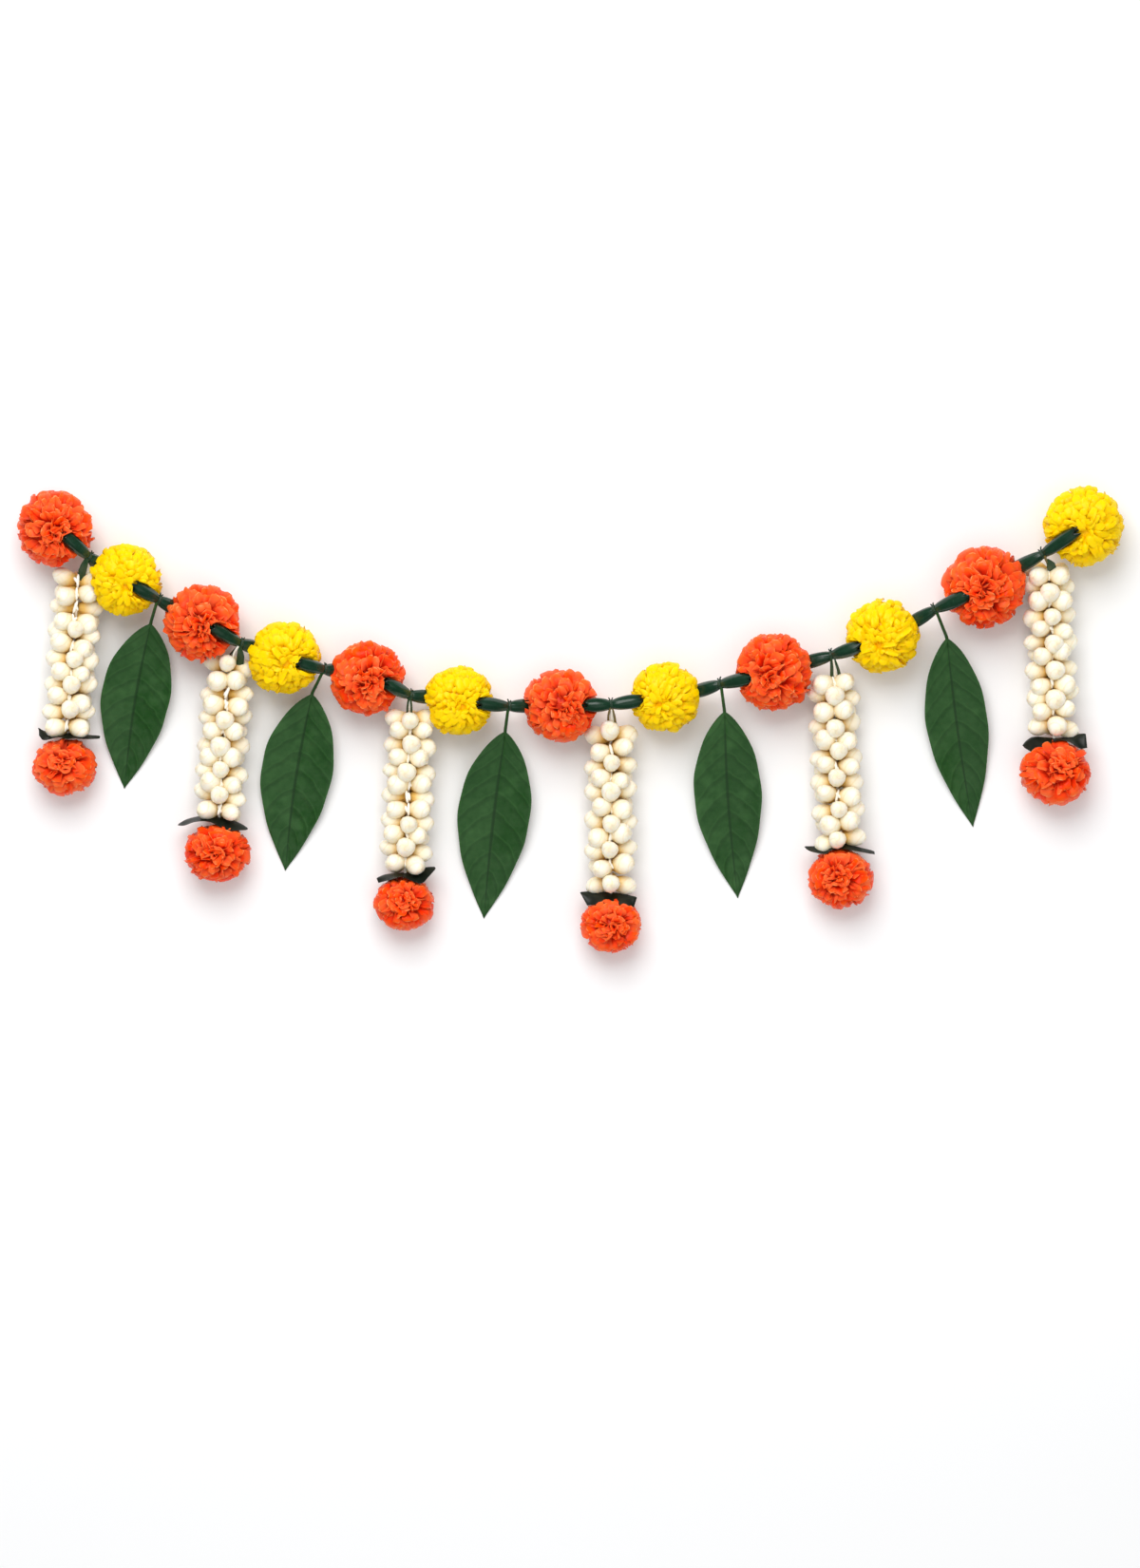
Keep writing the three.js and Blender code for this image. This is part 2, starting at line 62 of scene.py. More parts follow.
MM = 0.001  # metres in a millimetre
FLOOR = 0.3  # the lowest that any piece reaches above the floor
CREASE = 75.0  # faces that meet at more than this angle keep a sharp edge, as at a sheet's rim
RIGHT = np.array([1.0, 0.0, 0.0])
DOWN = np.array([0.0, -1.0, 0.0])  # down the page, the way that the tassels and leaves hang
UP = np.array([0.0, 0.0, 1.0])  # off the floor
LEVEL = np.array([1.0, 1.0, 0.0])  # times a place, this lays it on the floor
HEADS = 12
GOLDEN_ANGLE = np.pi * (3 - np.sqrt(5))  # the turn from one petal to the next
END_HEAD_ASPECT = 0.88  # an end marigold's depth along its tassel over its diameter
VEIN_RATE = 60.0  # how fast a leaf's side veins follow each other: radians over its length
VEIN_POWER = 1.35  # how they arch: the power of the share from the midrib to the margin
STRAND_END = 0.55  # a strand's radius at its ends over its own
DEEP_SHADOW = (0.002, 0.006, 0.003)  # inside a sleeve's mouth


# ---- Numbers and directions ----


def unit(vectors: Array) -> Array:
    """The vectors at length one."""
    return vectors / np.maximum(np.linalg.norm(vectors, axis=-1, keepdims=True), 1e-9)


def smooth(low: float, high: float, value: Array) -> Array:
    """A smooth step from 0 where value is low to 1 where it is high."""
    share = np.clip((value - low) / (high - low), 0.0, 1.0)
    return share * share * (3.0 - 2.0 * share)


def mix(start: Array, end: Array, share: Array) -> Array:
    """The value a share of the way from start to end."""
    return start + (end - start) * share


def rightwards(down: Array) -> Array:
    """The level direction to the right of one that points down the page."""
    return np.array([-down[1], down[0], 0.0])


def on_ball(angle: Array, turn: Array) -> Array:
    """Directions at an angle from +Z, turned about it."""
    side = np.sin(angle)
    return np.stack(np.broadcast_arrays(side * np.cos(turn), side * np.sin(turn), np.cos(angle)), axis=-1)


def round_turns(sides: int) -> Array:
    """Even turns once round a ring."""
    return 2 * np.pi * np.arange(sides) / sides


def curve_through(points: Array, count: int) -> Array:
    """A smooth line through a few points: each stretch is a Catmull-Rom cubic.

    Args:
        points: The points to pass through, n by 3.
        count: How many points the line gets.

    Returns:
        The line, count by 3.
    """
    padded = np.vstack([2 * points[0] - points[1], points, 2 * points[-1] - points[-2]])
    share = np.linspace(0.0, len(points) - 1, count)
    start = np.minimum(share.astype(int), len(points) - 2)
    t = (share - start)[:, None]
    a, b, c, d = (padded[start + step] for step in range(4))
    return 0.5 * (
        2 * b + (c - a) * t + (2 * a - 5 * b + 4 * c - d) * t**2 + (3 * b - a - 3 * c + d) * t**3
    )


# ---- Places, read from the frame ----


def corners_of(node: str) -> Array:
    """The different corners of a CAD node's mesh.

    Args:
        node: The CAD node.

    Returns:
        The corners, n by 3, rounded to a hundredth.
    """
    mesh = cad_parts[node].data
    flat = np.empty(len(mesh.vertices) * 3, dtype=np.float32)
    mesh.vertices.foreach_get("co", flat)
    return np.unique(np.round(flat.reshape(-1, 3).astype(float) / MM, 2), axis=0)


def box_of(node: str) -> tuple[Array, Array]:
    """The lowest and highest corners of a CAD node."""
    low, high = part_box(node)
    return np.array(low) / MM, np.array(high) / MM


def ends_of(node: str, depth: float, towards: Array) -> tuple[Array, Array]:
    """The middles of a long node's two ends.

    Args:
        node: The CAD node.
        depth: How far from an end its corners still count as the end's.
        towards: Roughly the direction from the first end to the last.

    Returns:
        The middle of the first end and of the last.
    """
    corners = corners_of(node)
    axis = np.linalg.svd(corners - corners.mean(axis=0), full_matrices=False)[2][0]
    along = corners @ (axis * np.sign(axis @ towards))
    first, last = along < along.min() + depth, along > along.max() - depth
    return corners[first].mean(axis=0), corners[last].mean(axis=0)


@dataclass
class Link:
    """One sleeve between two heads, read from the frame."""

    number: int

    def __post_init__(self) -> None:
        """Finds the sleeve's two mouths, its direction, and its pinch."""
        node = f"sleeve_{self.number}"
        self.left, self.right = ends_of(node, 3.0, RIGHT)
        self.waist = unit(self.right - self.left)
        self.knot = self.narrowest(corners_of(node))

    def narrowest(self, corners: Array) -> Array:
        """The middle of the sleeve's narrowest ring of corners.

        Args:
            corners: All of the sleeve's, n by 3.

        Returns:
            The middle.
        """
        ring_depth, fewest_in_ring = 0.7, 6
        along = (corners - self.left) @ self.waist
        near = np.abs(along[:, None] - along[None, :]) < ring_depth
        near_count = near.sum(axis=1)
        middles = (near @ corners) / near_count[:, None]
        spread = np.where(near, np.linalg.norm(corners[None] - middles[:, None], axis=2), 0.0).max(axis=1)
        spread[near_count < fewest_in_ring] = np.inf
        return middles[np.argmin(spread)]


# ---- Meshes ----


@dataclass
class Surface:
    """A closed surface, or several alike, before it goes into a mesh."""

    corners: Array  # n by 3
    quads: Array  # m by 4
    uv: Array  # n by 2: across and along the surface
    # where the tone is low, the finishes paint shade
    tone: Array  # n: 0 at a root or in a fold, 1 at an edge or crest
    pick: Array  # n: one random number for each petal, bud or strand
    triangles: Array = field(default_factory=lambda: np.empty((0, 3), dtype=int))


def grid_quads(rows: int, columns: int, around: bool) -> Array:
    """The faces of a grid of corners, wound so that rows cross columns points outwards.

    Args:
        rows: Rows of corners.
        columns: Columns of corners.
        around: Whether the last column joins the first.

    Returns:
        Corner numbers, one row of four for each face.
    """
    index = np.arange(rows * columns).reshape(rows, columns)
    ahead = np.roll(index, -1, axis=1)
    if not around:
        index, ahead = index[:, :-1], ahead[:, :-1]
    return np.stack([index[:-1], index[1:], ahead[1:], ahead[:-1]], axis=-1).reshape(-1, 4)


def repeat_faces(faces: Array, copies: int, step: int) -> Array:
    """The same faces for each copy of a shape that has step corners."""
    return (faces[None] + step * np.arange(copies)[:, None, None]).reshape(-1, faces.shape[-1])


def closed_sheets(middle: Array, thickness: float, tone: Array, pick: Array) -> Surface:
    """Thin closed sheets: a front and a back that share their rim.

    The front stands half the thickness off the middle surface along the normal, which is the direction of
    its rows crossed with that of its columns, and the back lies as far below it.

    Args:
        middle: The middle surfaces, copies by rows by columns by 3.
        thickness: How thick the sheets are inside their rims.
        tone: The tone at each corner, copies by rows by columns.
        pick: The random number of each copy.

    Returns:
        The sheets as one surface.
    """
    copies, rows, columns, _ = middle.shape
    normal = unit(np.cross(np.gradient(middle, axis=1), np.gradient(middle, axis=2)))
    inside = np.zeros((rows, columns), dtype=bool)
    inside[1:-1, 1:-1] = True
    offset = normal * inside[None, :, :, None] * thickness / 2
    front = (middle + offset).reshape(copies, rows * columns, 3)
    back = (middle - offset)[:, inside]
    size = rows * columns + int(inside.sum())
    back_index = np.arange(rows * columns).reshape(rows, columns)
    back_index[inside] = np.arange(rows * columns, size)
    front_quads = grid_quads(rows, columns, around=False)
    back_quads = back_index.ravel()[front_quads][:, ::-1]
    across, along = np.meshgrid(np.linspace(0, 1, columns), np.linspace(0, 1, rows))
    uv = np.stack([across, along], axis=-1)
    return Surface(
        corners=np.concatenate([front, back], axis=1).reshape(-1, 3),
        quads=repeat_faces(np.concatenate([front_quads, back_quads]), copies, size),
        uv=np.tile(np.concatenate([uv.reshape(-1, 2), uv[inside]]), (copies, 1)),
        tone=np.concatenate([tone.reshape(copies, -1), tone[:, inside]], axis=1).ravel(),
        pick=np.repeat(pick, size),
    )


def closed_tubes(rings: Array, tone: Array, pick: Array) -> Surface:
    """Closed tubes through rings of corners, with one more corner at the middle of each end.

    Args:
        rings: The corners, copies by rings by sides by 3, anticlockwise seen from ahead.
        tone: The tone at each ring, copies by rings.
        pick: The random number of each copy.

    Returns:
        The tubes as one surface.
    """
    copies, count, sides, _ = rings.shape
    ends = np.stack([rings[:, 0].mean(axis=1), rings[:, -1].mean(axis=1)], axis=1)
    size = count * sides + 2
    wall = grid_quads(count, sides, around=True)[:, ::-1]
    ring = np.arange(sides)
    ahead = np.roll(ring, -1)
    first = np.stack([np.full(sides, size - 2), ahead, ring], axis=1)
    last = np.stack([np.full(sides, size - 1), ring + (count - 1) * sides, ahead + (count - 1) * sides], 1)
    around, along = np.meshgrid(ring / sides, np.linspace(0, 1, count))
    uv = np.concatenate([np.stack([around, along], axis=-1).reshape(-1, 2), [[0.5, 0.0], [0.5, 1.0]]])
    return Surface(
        corners=np.concatenate([rings.reshape(copies, -1, 3), ends], axis=1).reshape(-1, 3),
        quads=repeat_faces(wall, copies, size),
        uv=np.tile(uv, (copies, 1)),
        tone=np.concatenate([np.repeat(tone, sides, axis=1), tone[:, :1], tone[:, -1:]], axis=1).ravel(),
        pick=np.repeat(pick, size),
        triangles=repeat_faces(np.concatenate([first, last]), copies, size),
    )


def swept(path: Array, radius: Array, sides: int, reference: Array = UP) -> Array:
    """Rings of corners carried along a path.

    A ring lies square to the path. Its corners stand off the path by the radius along two directions:
    the reference made square to the path, and the path's direction crossed with that.

    Args:
        path: The path, n by 3.
        radius: The radius at each point, or at each corner of each ring as n by sides.
        sides: Corners in a ring.
        reference: The direction of each ring's first corner, before it is made square to the path.

    Returns:
        The rings, n by sides by 3.
    """
    along = unit(np.gradient(path, axis=0))
    over = unit(reference - (along @ reference)[:, None] * along)
    across = np.cross(along, over)
    turn = round_turns(sides)
    out = over[:, None] * np.cos(turn)[None, :, None] + across[:, None] * np.sin(turn)[None, :, None]
    spread = np.broadcast_to(np.asarray(radius, dtype=float).reshape(len(path), -1), (len(path), sides))
    return path[:, None] + out * spread[:, :, None]


def tube(path: Array, radius: Array, sides: int, pick: float, reference: Array = UP) -> Surface:
    """One closed tube along a path, with the radius that each point or corner is given."""
    rings = swept(path, radius, sides, reference)[None]
    return closed_tubes(rings, np.ones((1, len(path))), np.array([pick]))


def strand(path: Array, radius: float, sides: int, pick: float, reference: Array = UP) -> Surface:
    """A round strand along a path, with narrower ends."""
    inner = [1.0] * (len(path) - 2)
    return tube(path, radius * np.array([STRAND_END, *inner, STRAND_END]), sides, pick, reference)


def rest_on_floor(corners: Array) -> Array:
    """Corners below the floor pressed up onto it: their height falls off to it as an exponential.

    Args:
        corners: Any corners.

    Returns:
        The corners, moved.
    """
    pressed = corners.copy()
    low = FLOOR + 1.0
    z = corners[..., 2]
    pressed[..., 2] = np.where(z < low, FLOOR + np.exp(np.minimum(z - low, 0.0)), z)
    return pressed


def build(name: str, surfaces: list[Surface]) -> bpy.types.Object:
    """One smooth mesh object from several surfaces, with its UV map and its tone and pick attributes.

    Args:
        name: The piece's name.
        surfaces: What it is made of. A face where the UV map closes round a tube runs on past 1.

    Returns:
        The object, at the origin and linked to the scene.
    """
    starts = np.cumsum([0] + [len(surface.corners) for surface in surfaces[:-1]])
    quads = np.concatenate([s.quads + start for s, start in zip(surfaces, starts)])
    triangles = np.concatenate([s.triangles + start for s, start in zip(surfaces, starts)])
    corners = rest_on_floor(np.concatenate([surface.corners for surface in surfaces]))
    mesh = bpy.data.meshes.new(name)
    mesh.from_pydata((corners * MM).tolist(), [], quads.tolist() + triangles.tolist())
    mesh.polygons.foreach_set("use_smooth", np.ones(len(mesh.polygons), dtype=bool))
    mesh.set_sharp_from_angle(angle=np.radians(CREASE))
    order = np.empty(len(mesh.loops), dtype=np.int32)
    mesh.loops.foreach_get("vertex_index", order)
    uv = np.concatenate([surface.uv for surface in surfaces])[order]
    for start, faces in ((0, quads), (quads.size, triangles)):
        across = uv[start : start + faces.size, 0].reshape(faces.shape)
        across += (across < 0.5) & (np.ptp(across, axis=1, keepdims=True) > 0.5)
    mesh.uv_layers.new(name="UVMap").data.foreach_set("uv", uv.astype(np.float32).ravel())
    for label in ("tone", "pick"):
        values = np.concatenate([getattr(surface, label) for surface in surfaces]).astype(np.float32)
        mesh.attributes.new(label, "FLOAT", "POINT").data.foreach_set("value", values)
    mesh.update()
    return add_object(name, mesh)


def add_object(name: str, data: bpy.types.ID) -> bpy.types.Object:
    """A new object in the scene.

    Args:
        name: The object's name.
        data: Its mesh, light or camera.

    Returns:
        The object.
    """
    made = bpy.data.objects.new(name, data)
    bpy.context.scene.collection.objects.link(made)
    return made


# ---- Finishes ----


def as_colour(value: object) -> object:
    """A colour with its alpha, and anything else as it is."""
    return (*value, 1.0) if isinstance(value, tuple) and len(value) == 3 else value


class Nodes:
    """Adds nodes to a tree and links them. Each value is a constant or the output socket that feeds it."""

    def __init__(self, tree: bpy.types.NodeTree) -> None:
        """Works on a material's or a group's tree."""
        self.tree = tree

    def give(self, socket: Socket, value: object) -> None:
        """Lets a value feed an input.

        Args:
            socket: The input.
            value: A constant or the output socket that feeds it.
        """
        if isinstance(value, Socket):
            self.tree.links.new(value, socket)
        else:
            socket.default_value = value

    def add(self, kind: str, inputs: dict | None = None, **settings: object) -> bpy.types.Node:
        """A new node.

        Args:
            kind: The node's type.
            inputs: The value for each input, by name or number.
            **settings: The node's own properties.

        Returns:
            The node.
        """
        node = self.tree.nodes.new(kind)
        for label, value in settings.items():
            setattr(node, label, value)
        for label, value in (inputs or {}).items():
            self.give(node.inputs[label], value)
        return node

    def attribute(self, label: str) -> Socket:
        """The value of a mesh attribute."""
        return self.add("ShaderNodeAttribute", attribute_name=label).outputs["Fac"]

    def where(self, output: str) -> Socket:
        """Object or UV coordinates."""
        return self.add("ShaderNodeTexCoord").outputs[output]

    def across_along(self) -> tuple[Socket, Socket]:
        """The UV map's X and its Y."""
        parts = self.add("ShaderNodeSeparateXYZ", {0: self.where("UV")}).outputs
        return parts["X"], parts["Y"]

    def noise(self, vector: Socket, scale: object, detail: float) -> Socket:
        """Smooth noise over a vector."""
        inputs = {"Vector": vector, "Scale": scale, "Detail": detail}
        return self.add("ShaderNodeTexNoise", inputs).outputs["Fac"]

    def maths(self, operation: str, first: object, second: object = 0.5) -> Socket:
        """The result of a sum on one or two values."""
        return self.add("ShaderNodeMath", {0: first, 1: second}, operation=operation).outputs[0]

    def times(self, first: object, second: object) -> Socket:
        """One value times another."""
        return self.maths("MULTIPLY", first, second)

    def plus(self, first: object, second: object) -> Socket:
        """One value and another."""
        return self.maths("ADD", first, second)

    def spread(self, value: Socket, low: float, high: float, start: float = 0.0, end: float = 1.0) -> Socket:
        """A value that goes from start to end while another goes from low to high, and stays between."""
        inputs = {"Value": value, "From Min": low, "From Max": high, "To Min": start, "To Max": end}
        return self.add("ShaderNodeMapRange", inputs).outputs["Result"]

    def blend(self, share: object, first: object, second: object) -> Socket:
        """A colour between two colours."""
        inputs = {0: share, 6: as_colour(first), 7: as_colour(second)}  # 6 and 7 are the colours A and B
        return self.add("ShaderNodeMix", inputs, data_type="RGBA").outputs[2]

    def tinge(self, colour: object, share: Socket, amount: object, towards: Colour) -> Socket:
        """A colour moved towards another by an amount where the share is 1."""
        return self.blend(self.times(share, amount), colour, towards)

    def ramp(self, value: Socket, stops: list[tuple[float, Colour]]) -> Socket:
        """A colour looked up along a row of stops.

        Args:
            value: Where to look.
            stops: Each stop's position and colour.

        Returns:
            The colour.
        """
        node = self.add("ShaderNodeValToRGB", {"Fac": value})
        elements = node.color_ramp.elements
        for element, (position, colour) in zip(elements, (stops[0], stops[-1])):
            element.position, element.color = position, as_colour(colour)
        for position, colour in stops[1:-1]:
            elements.new(position).color = as_colour(colour)
        return node.outputs["Color"]


class Group(Nodes):
    """The nodes of a shared group, with number sockets in and one value out."""

    def __init__(self, name: str, **inputs: float) -> None:
        """Sets up the sockets.

        Args:
            name: The group's name.
            **inputs: Each input's default.
        """
        super().__init__(bpy.data.node_groups.new(name, "ShaderNodeTree"))
        sockets = self.tree.interface
        for label, value in inputs.items():
            sockets.new_socket(label, in_out="INPUT", socket_type="NodeSocketFloat").default_value = value
        sockets.new_socket("Value", in_out="OUTPUT", socket_type="NodeSocketFloat")
        self.given = self.add("NodeGroupInput").outputs


@cache
def mottle_group() -> bpy.types.NodeTree:
    """Cloudy variation in the object's own space: two sizes of noise, added and spread about a half.

    Returns:
        The shared group, made at its first use.
    """
    group = Group("mottle", Scale=60.0, Amount=1.0)
    where, scale = group.where("Object"), group.given["Scale"]
    total = group.plus(group.noise(where, scale, 3.0), group.noise(where, group.times(scale, 5.0), 2.0))
    cloud = group.times(group.maths("SUBTRACT", total, 1.0), group.given["Amount"])
    group.add("NodeGroupOutput", {"Value": group.plus(cloud, 0.5)})
    return group.tree


@cache
def streak_group() -> bpy.types.NodeTree:
    """Fine lines along a surface: noise over the UV map, squeezed across and drawn out along it.

    Returns:
        The shared group, made at its first use.
    """
    group = Group("streaks", Across=20.0, Along=1.5, Shift=0.0)
    across, along = group.across_along()
    inputs = {
        "X": group.times(across, group.given["Across"]),
        "Y": group.times(along, group.given["Along"]),
        "Z": group.times(group.given["Shift"], 37.0),
    }
    vector = group.add("ShaderNodeCombineXYZ", inputs).outputs[0]
    group.add("NodeGroupOutput", {"Value": group.noise(vector, 1.0, 2.0)})
    return group.tree


class Look(Nodes):
    """A material's nodes and its shader."""

    def __init__(self, name: str, colour: Colour, constants: dict[str, object]) -> None:
        """Makes the material.

        Args:
            name: Its name.
            colour: The shader's plain colour, until something feeds it.
            constants: Constants for the shader's other sockets.
        """
        self.material = bpy.data.materials.new(name)
        self.material.use_nodes = True
        super().__init__(self.material.node_tree)
        self.tree.nodes.clear()
        self.shader = self.add("ShaderNodeBsdfPrincipled", {"Base Color": as_colour(colour), **constants})
        self.add("ShaderNodeOutputMaterial", {"Surface": self.shader.outputs["BSDF"]})

    def mottle(self, scale: float, amount: float = 1.0) -> Socket:
        """Cloudy variation about a half."""
        inputs = {"Scale": scale, "Amount": amount}
        return self.add("ShaderNodeGroup", inputs, node_tree=mottle_group()).outputs["Value"]

    def streaks(self, across: float, along: float, shift: Socket) -> Socket:
        """Fine lines along the UV map's Y."""
        inputs = {"Across": across, "Along": along, "Shift": shift}
        return self.add("ShaderNodeGroup", inputs, node_tree=streak_group()).outputs["Value"]

    def done(
        self, colour: Socket, height: Socket, depth: float, strength: float, roughness: Socket | None = None
    ) -> bpy.types.Material:
        """The finished material.

        Args:
            colour: What feeds the shader's colour.
            height: The relief, which feeds its normal.
            depth: How high a height of 1 stands, in millimetres.
            strength: The relief's strength.
            roughness: What feeds the roughness, if anything does.

        Returns:
            The material.
        """
        relief = {"Height": height, "Distance": depth * MM, "Strength": strength}
        self.give(self.shader.inputs["Base Color"], colour)
        self.give(self.shader.inputs["Normal"], self.add("ShaderNodeBump", relief).outputs["Normal"])
        if roughness is not None:
            self.give(self.shader.inputs["Roughness"], roughness)
        return self.material


@dataclass(frozen=True)
class Finish:
    """What every finish has: its material's name, a slot name, and its main colour."""

    name: str
    slot: str
    body: Colour


@dataclass(frozen=True)
class PetalFinish(Finish):
    """Soft translucent petals with fine ribs: painted shade at the root and in the folds, and a paler edge
    that is partly their own colour and partly a painted highlight.
    """

    # painted shade: deep is the colour painted at the roots and in the folds, and shade the next step out
    deep: Colour
    shade: Colour
    # the rim's paler colour: partly the petals' own, partly a painted highlight
    edge: Colour
    roughness: float

    def make(self) -> bpy.types.Material:
        """Builds it from the tone along each petal and a random number for each.

        Returns:
            The material.
        """
        constants = {
            "Roughness": self.roughness,
            "Specular IOR Level": 0.1,
            "Subsurface Weight": 0.12,
            "Subsurface Radius": (1.0, 0.6, 0.3),
            "Subsurface Scale": 1.0 * MM,
        }
        look = Look(self.name, self.body, constants)
        pick = look.attribute("pick")
        ribs = look.streaks(14.0, 1.2, pick)
        shifted = look.plus(look.attribute("tone"), look.times(look.maths("SUBTRACT", ribs), 0.10))
        # painted shade: the ramp darkens towards the roots and into the folds, where the tone is low; its
        # last stop paints the rim paler, partly as a highlight
        stops = [(0.3, self.deep), (0.55, self.shade), (0.74, self.body), (0.9, self.body), (1.0, self.edge)]
        varied = look.tinge(look.ramp(shifted, stops), pick, 0.25, self.edge)
        clouded = look.tinge(varied, look.mottle(90.0, 0.5), 0.3, self.shade)
        return look.done(clouded, ribs, depth=0.25, strength=0.5)


@dataclass(frozen=True)
class BudFinish(Finish):
    """Ivory buds, wound of three overlapping petals, with painted shade in warm ochre near their roots, where
    they crowd together, and in the creases where the petals overlap.
    """

    # painted shade: the warm ochre near the roots and in the creases
    root: Colour
    tip: Colour

    def make(self) -> bpy.types.Material:
        """Builds it from the tone from root to tip, and the UV map that the petals are wound over.

        Returns:
            The material.
        """
        constants = {
            "Roughness": 0.45,
            "Specular IOR Level": 0.35,
            "Subsurface Weight": 0.3,
            "Subsurface Radius": (1.0, 0.8, 0.5),
            "Subsurface Scale": 3.0 * MM,
        }
        look = Look(self.name, self.body, constants)
        pick = look.attribute("pick")
        across, along = look.across_along()
        wound = look.plus(look.times(across, 3.0), look.times(along, 2.2))
        overlap = look.maths("FRACT", look.plus(wound, pick))
        crease = look.spread(overlap, 0.0, 0.2, 1.0, 0.0)
        cloud = look.mottle(120.0, 0.6)
        # painted shade: ochre where the tone is low, near the root, where the buds crowd together
        stops = [(0.26, self.root), (0.52, self.body), (0.9, self.tip), (1.0, self.body)]
        clouded = look.tinge(look.ramp(look.attribute("tone"), stops), cloud, 0.16, self.root)
        # painted shade in the creases where the petals overlap
        creased = look.tinge(clouded, crease, 0.3, self.root)
        folds = look.plus(look.times(overlap, 0.9), look.times(look.streaks(5.0, 3.0, pick), 0.6))
        return look.done(creased, look.plus(folds, look.times(cloud, 0.7)), depth=0.9, strength=0.7)


@dataclass(frozen=True)
class LeafFinish(Finish):
    """A moulded leaf: midrib and side veins, a faint grain, painted sheen in satin patches, painted shade in
    the hollow beside each vein, and one half painted lighter than the other, as if lit across its fold.
    """

    light: Colour
    dark: Colour

    def make(self) -> bpy.types.Material:
        """Builds it over the leaf's UV map: X across from margin to margin and Y to the tip.

        Returns:
            The material.
        """
        look = Look(self.name, self.body, {"Specular IOR Level": 0.3})
        across, along = look.across_along()
        signed = look.maths("SUBTRACT", across)
        off = look.maths("ABSOLUTE", signed)
        wander = look.times(look.mottle(22.0), 0.035)
        arch = look.times(look.maths("POWER", off, VEIN_POWER), -0.4)
        phase = look.times(look.plus(along, look.plus(arch, wander)), VEIN_RATE)
        bank = look.maths("SINE", look.plus(phase, -0.9))
        vein = look.spread(look.maths("SINE", phase), 0.88, 0.98)
        cloud = look.mottle(35.0)
        # painted light: the half left of the midrib is tinged further towards the light colour than the
        # right, as if lit across the fold
        side = look.spread(signed, -0.04, 0.04, 0.75, 0.45)
        colour = look.tinge(self.body, cloud, side, self.light)
        for share, amount, towards in (
            (look.spread(look.mottle(14.0), 0.52, 0.8), 0.6, self.light),  # painted sheen: satin patches
            (look.spread(bank, 0.3, 1.0), 0.28, self.dark),  # painted shade in the hollow beside each vein
            (vein, 0.26, self.light),
            (look.spread(off, 0.465, 0.49), 0.4, self.light),  # the margin
            (look.spread(off, 0.012, 0.03, 1.0, 0.0), 0.7, self.dark),  # the midrib
        ):
            colour = look.tinge(colour, share, amount, towards)
        height = look.plus(look.times(vein, 0.12), look.times(cloud, 0.5))
        sheen = look.spread(cloud, 0.3, 0.7, 0.3, 0.5)
        return look.done(colour, height, depth=0.5, strength=0.5, roughness=sheen)


@dataclass(frozen=True)
class FilmFinish(Finish):
    """A creased satin film or leathery leaf, streaked along its length."""

    light: Colour
    roughness: float
    coat: float
    across: float

    def make(self) -> bpy.types.Material:
        """Builds it with streaks that run along the UV map's Y.

        Returns:
            The material.
        """
        constants = {"Coat Weight": self.coat, "Coat Roughness": 0.15, "Specular IOR Level": 0.3}
        look = Look(self.name, self.body, constants)
        streaks = look.streaks(self.across, 2.5, look.attribute("pick"))
        cloud = look.mottle(70.0, 0.8)
        streaked = look.tinge(self.body, streaks, cloud, self.light)
        colour = look.blend(look.attribute("tone"), DEEP_SHADOW, streaked)
        uneven = 0.16  # how far the roughness differs from place to place
        rough = look.plus(look.times(cloud, uneven), self.roughness - uneven / 2)
        height = look.plus(streaks, look.times(cloud, 0.3))
        return look.done(colour, height, depth=0.4, strength=0.6, roughness=rough)


@dataclass(frozen=True)
class CordFinish(Finish):
    """Twisted thread or floral wire: slanting plies along the strand, with painted shade in the grooves
    between them.
    """

    # painted shade: the colour in the grooves between the plies
    groove: Colour
    plies: float
    roughness: float

    def make(self) -> bpy.types.Material:
        """Builds it with plies that climb across the UV map.

        Returns:
            The material.
        """
        look = Look(self.name, self.body, {"Roughness": self.roughness})
        across, along = look.across_along()
        phase = look.times(look.plus(look.times(along, self.plies), across), 4 * np.pi)
        raised = look.plus(look.times(look.maths("SINE", phase), 0.5), 0.5)
        share = look.times(raised, look.plus(look.mottle(200.0), 0.4))
        return look.done(look.blend(share, self.groove, self.body), raised, depth=0.3, strength=0.4)


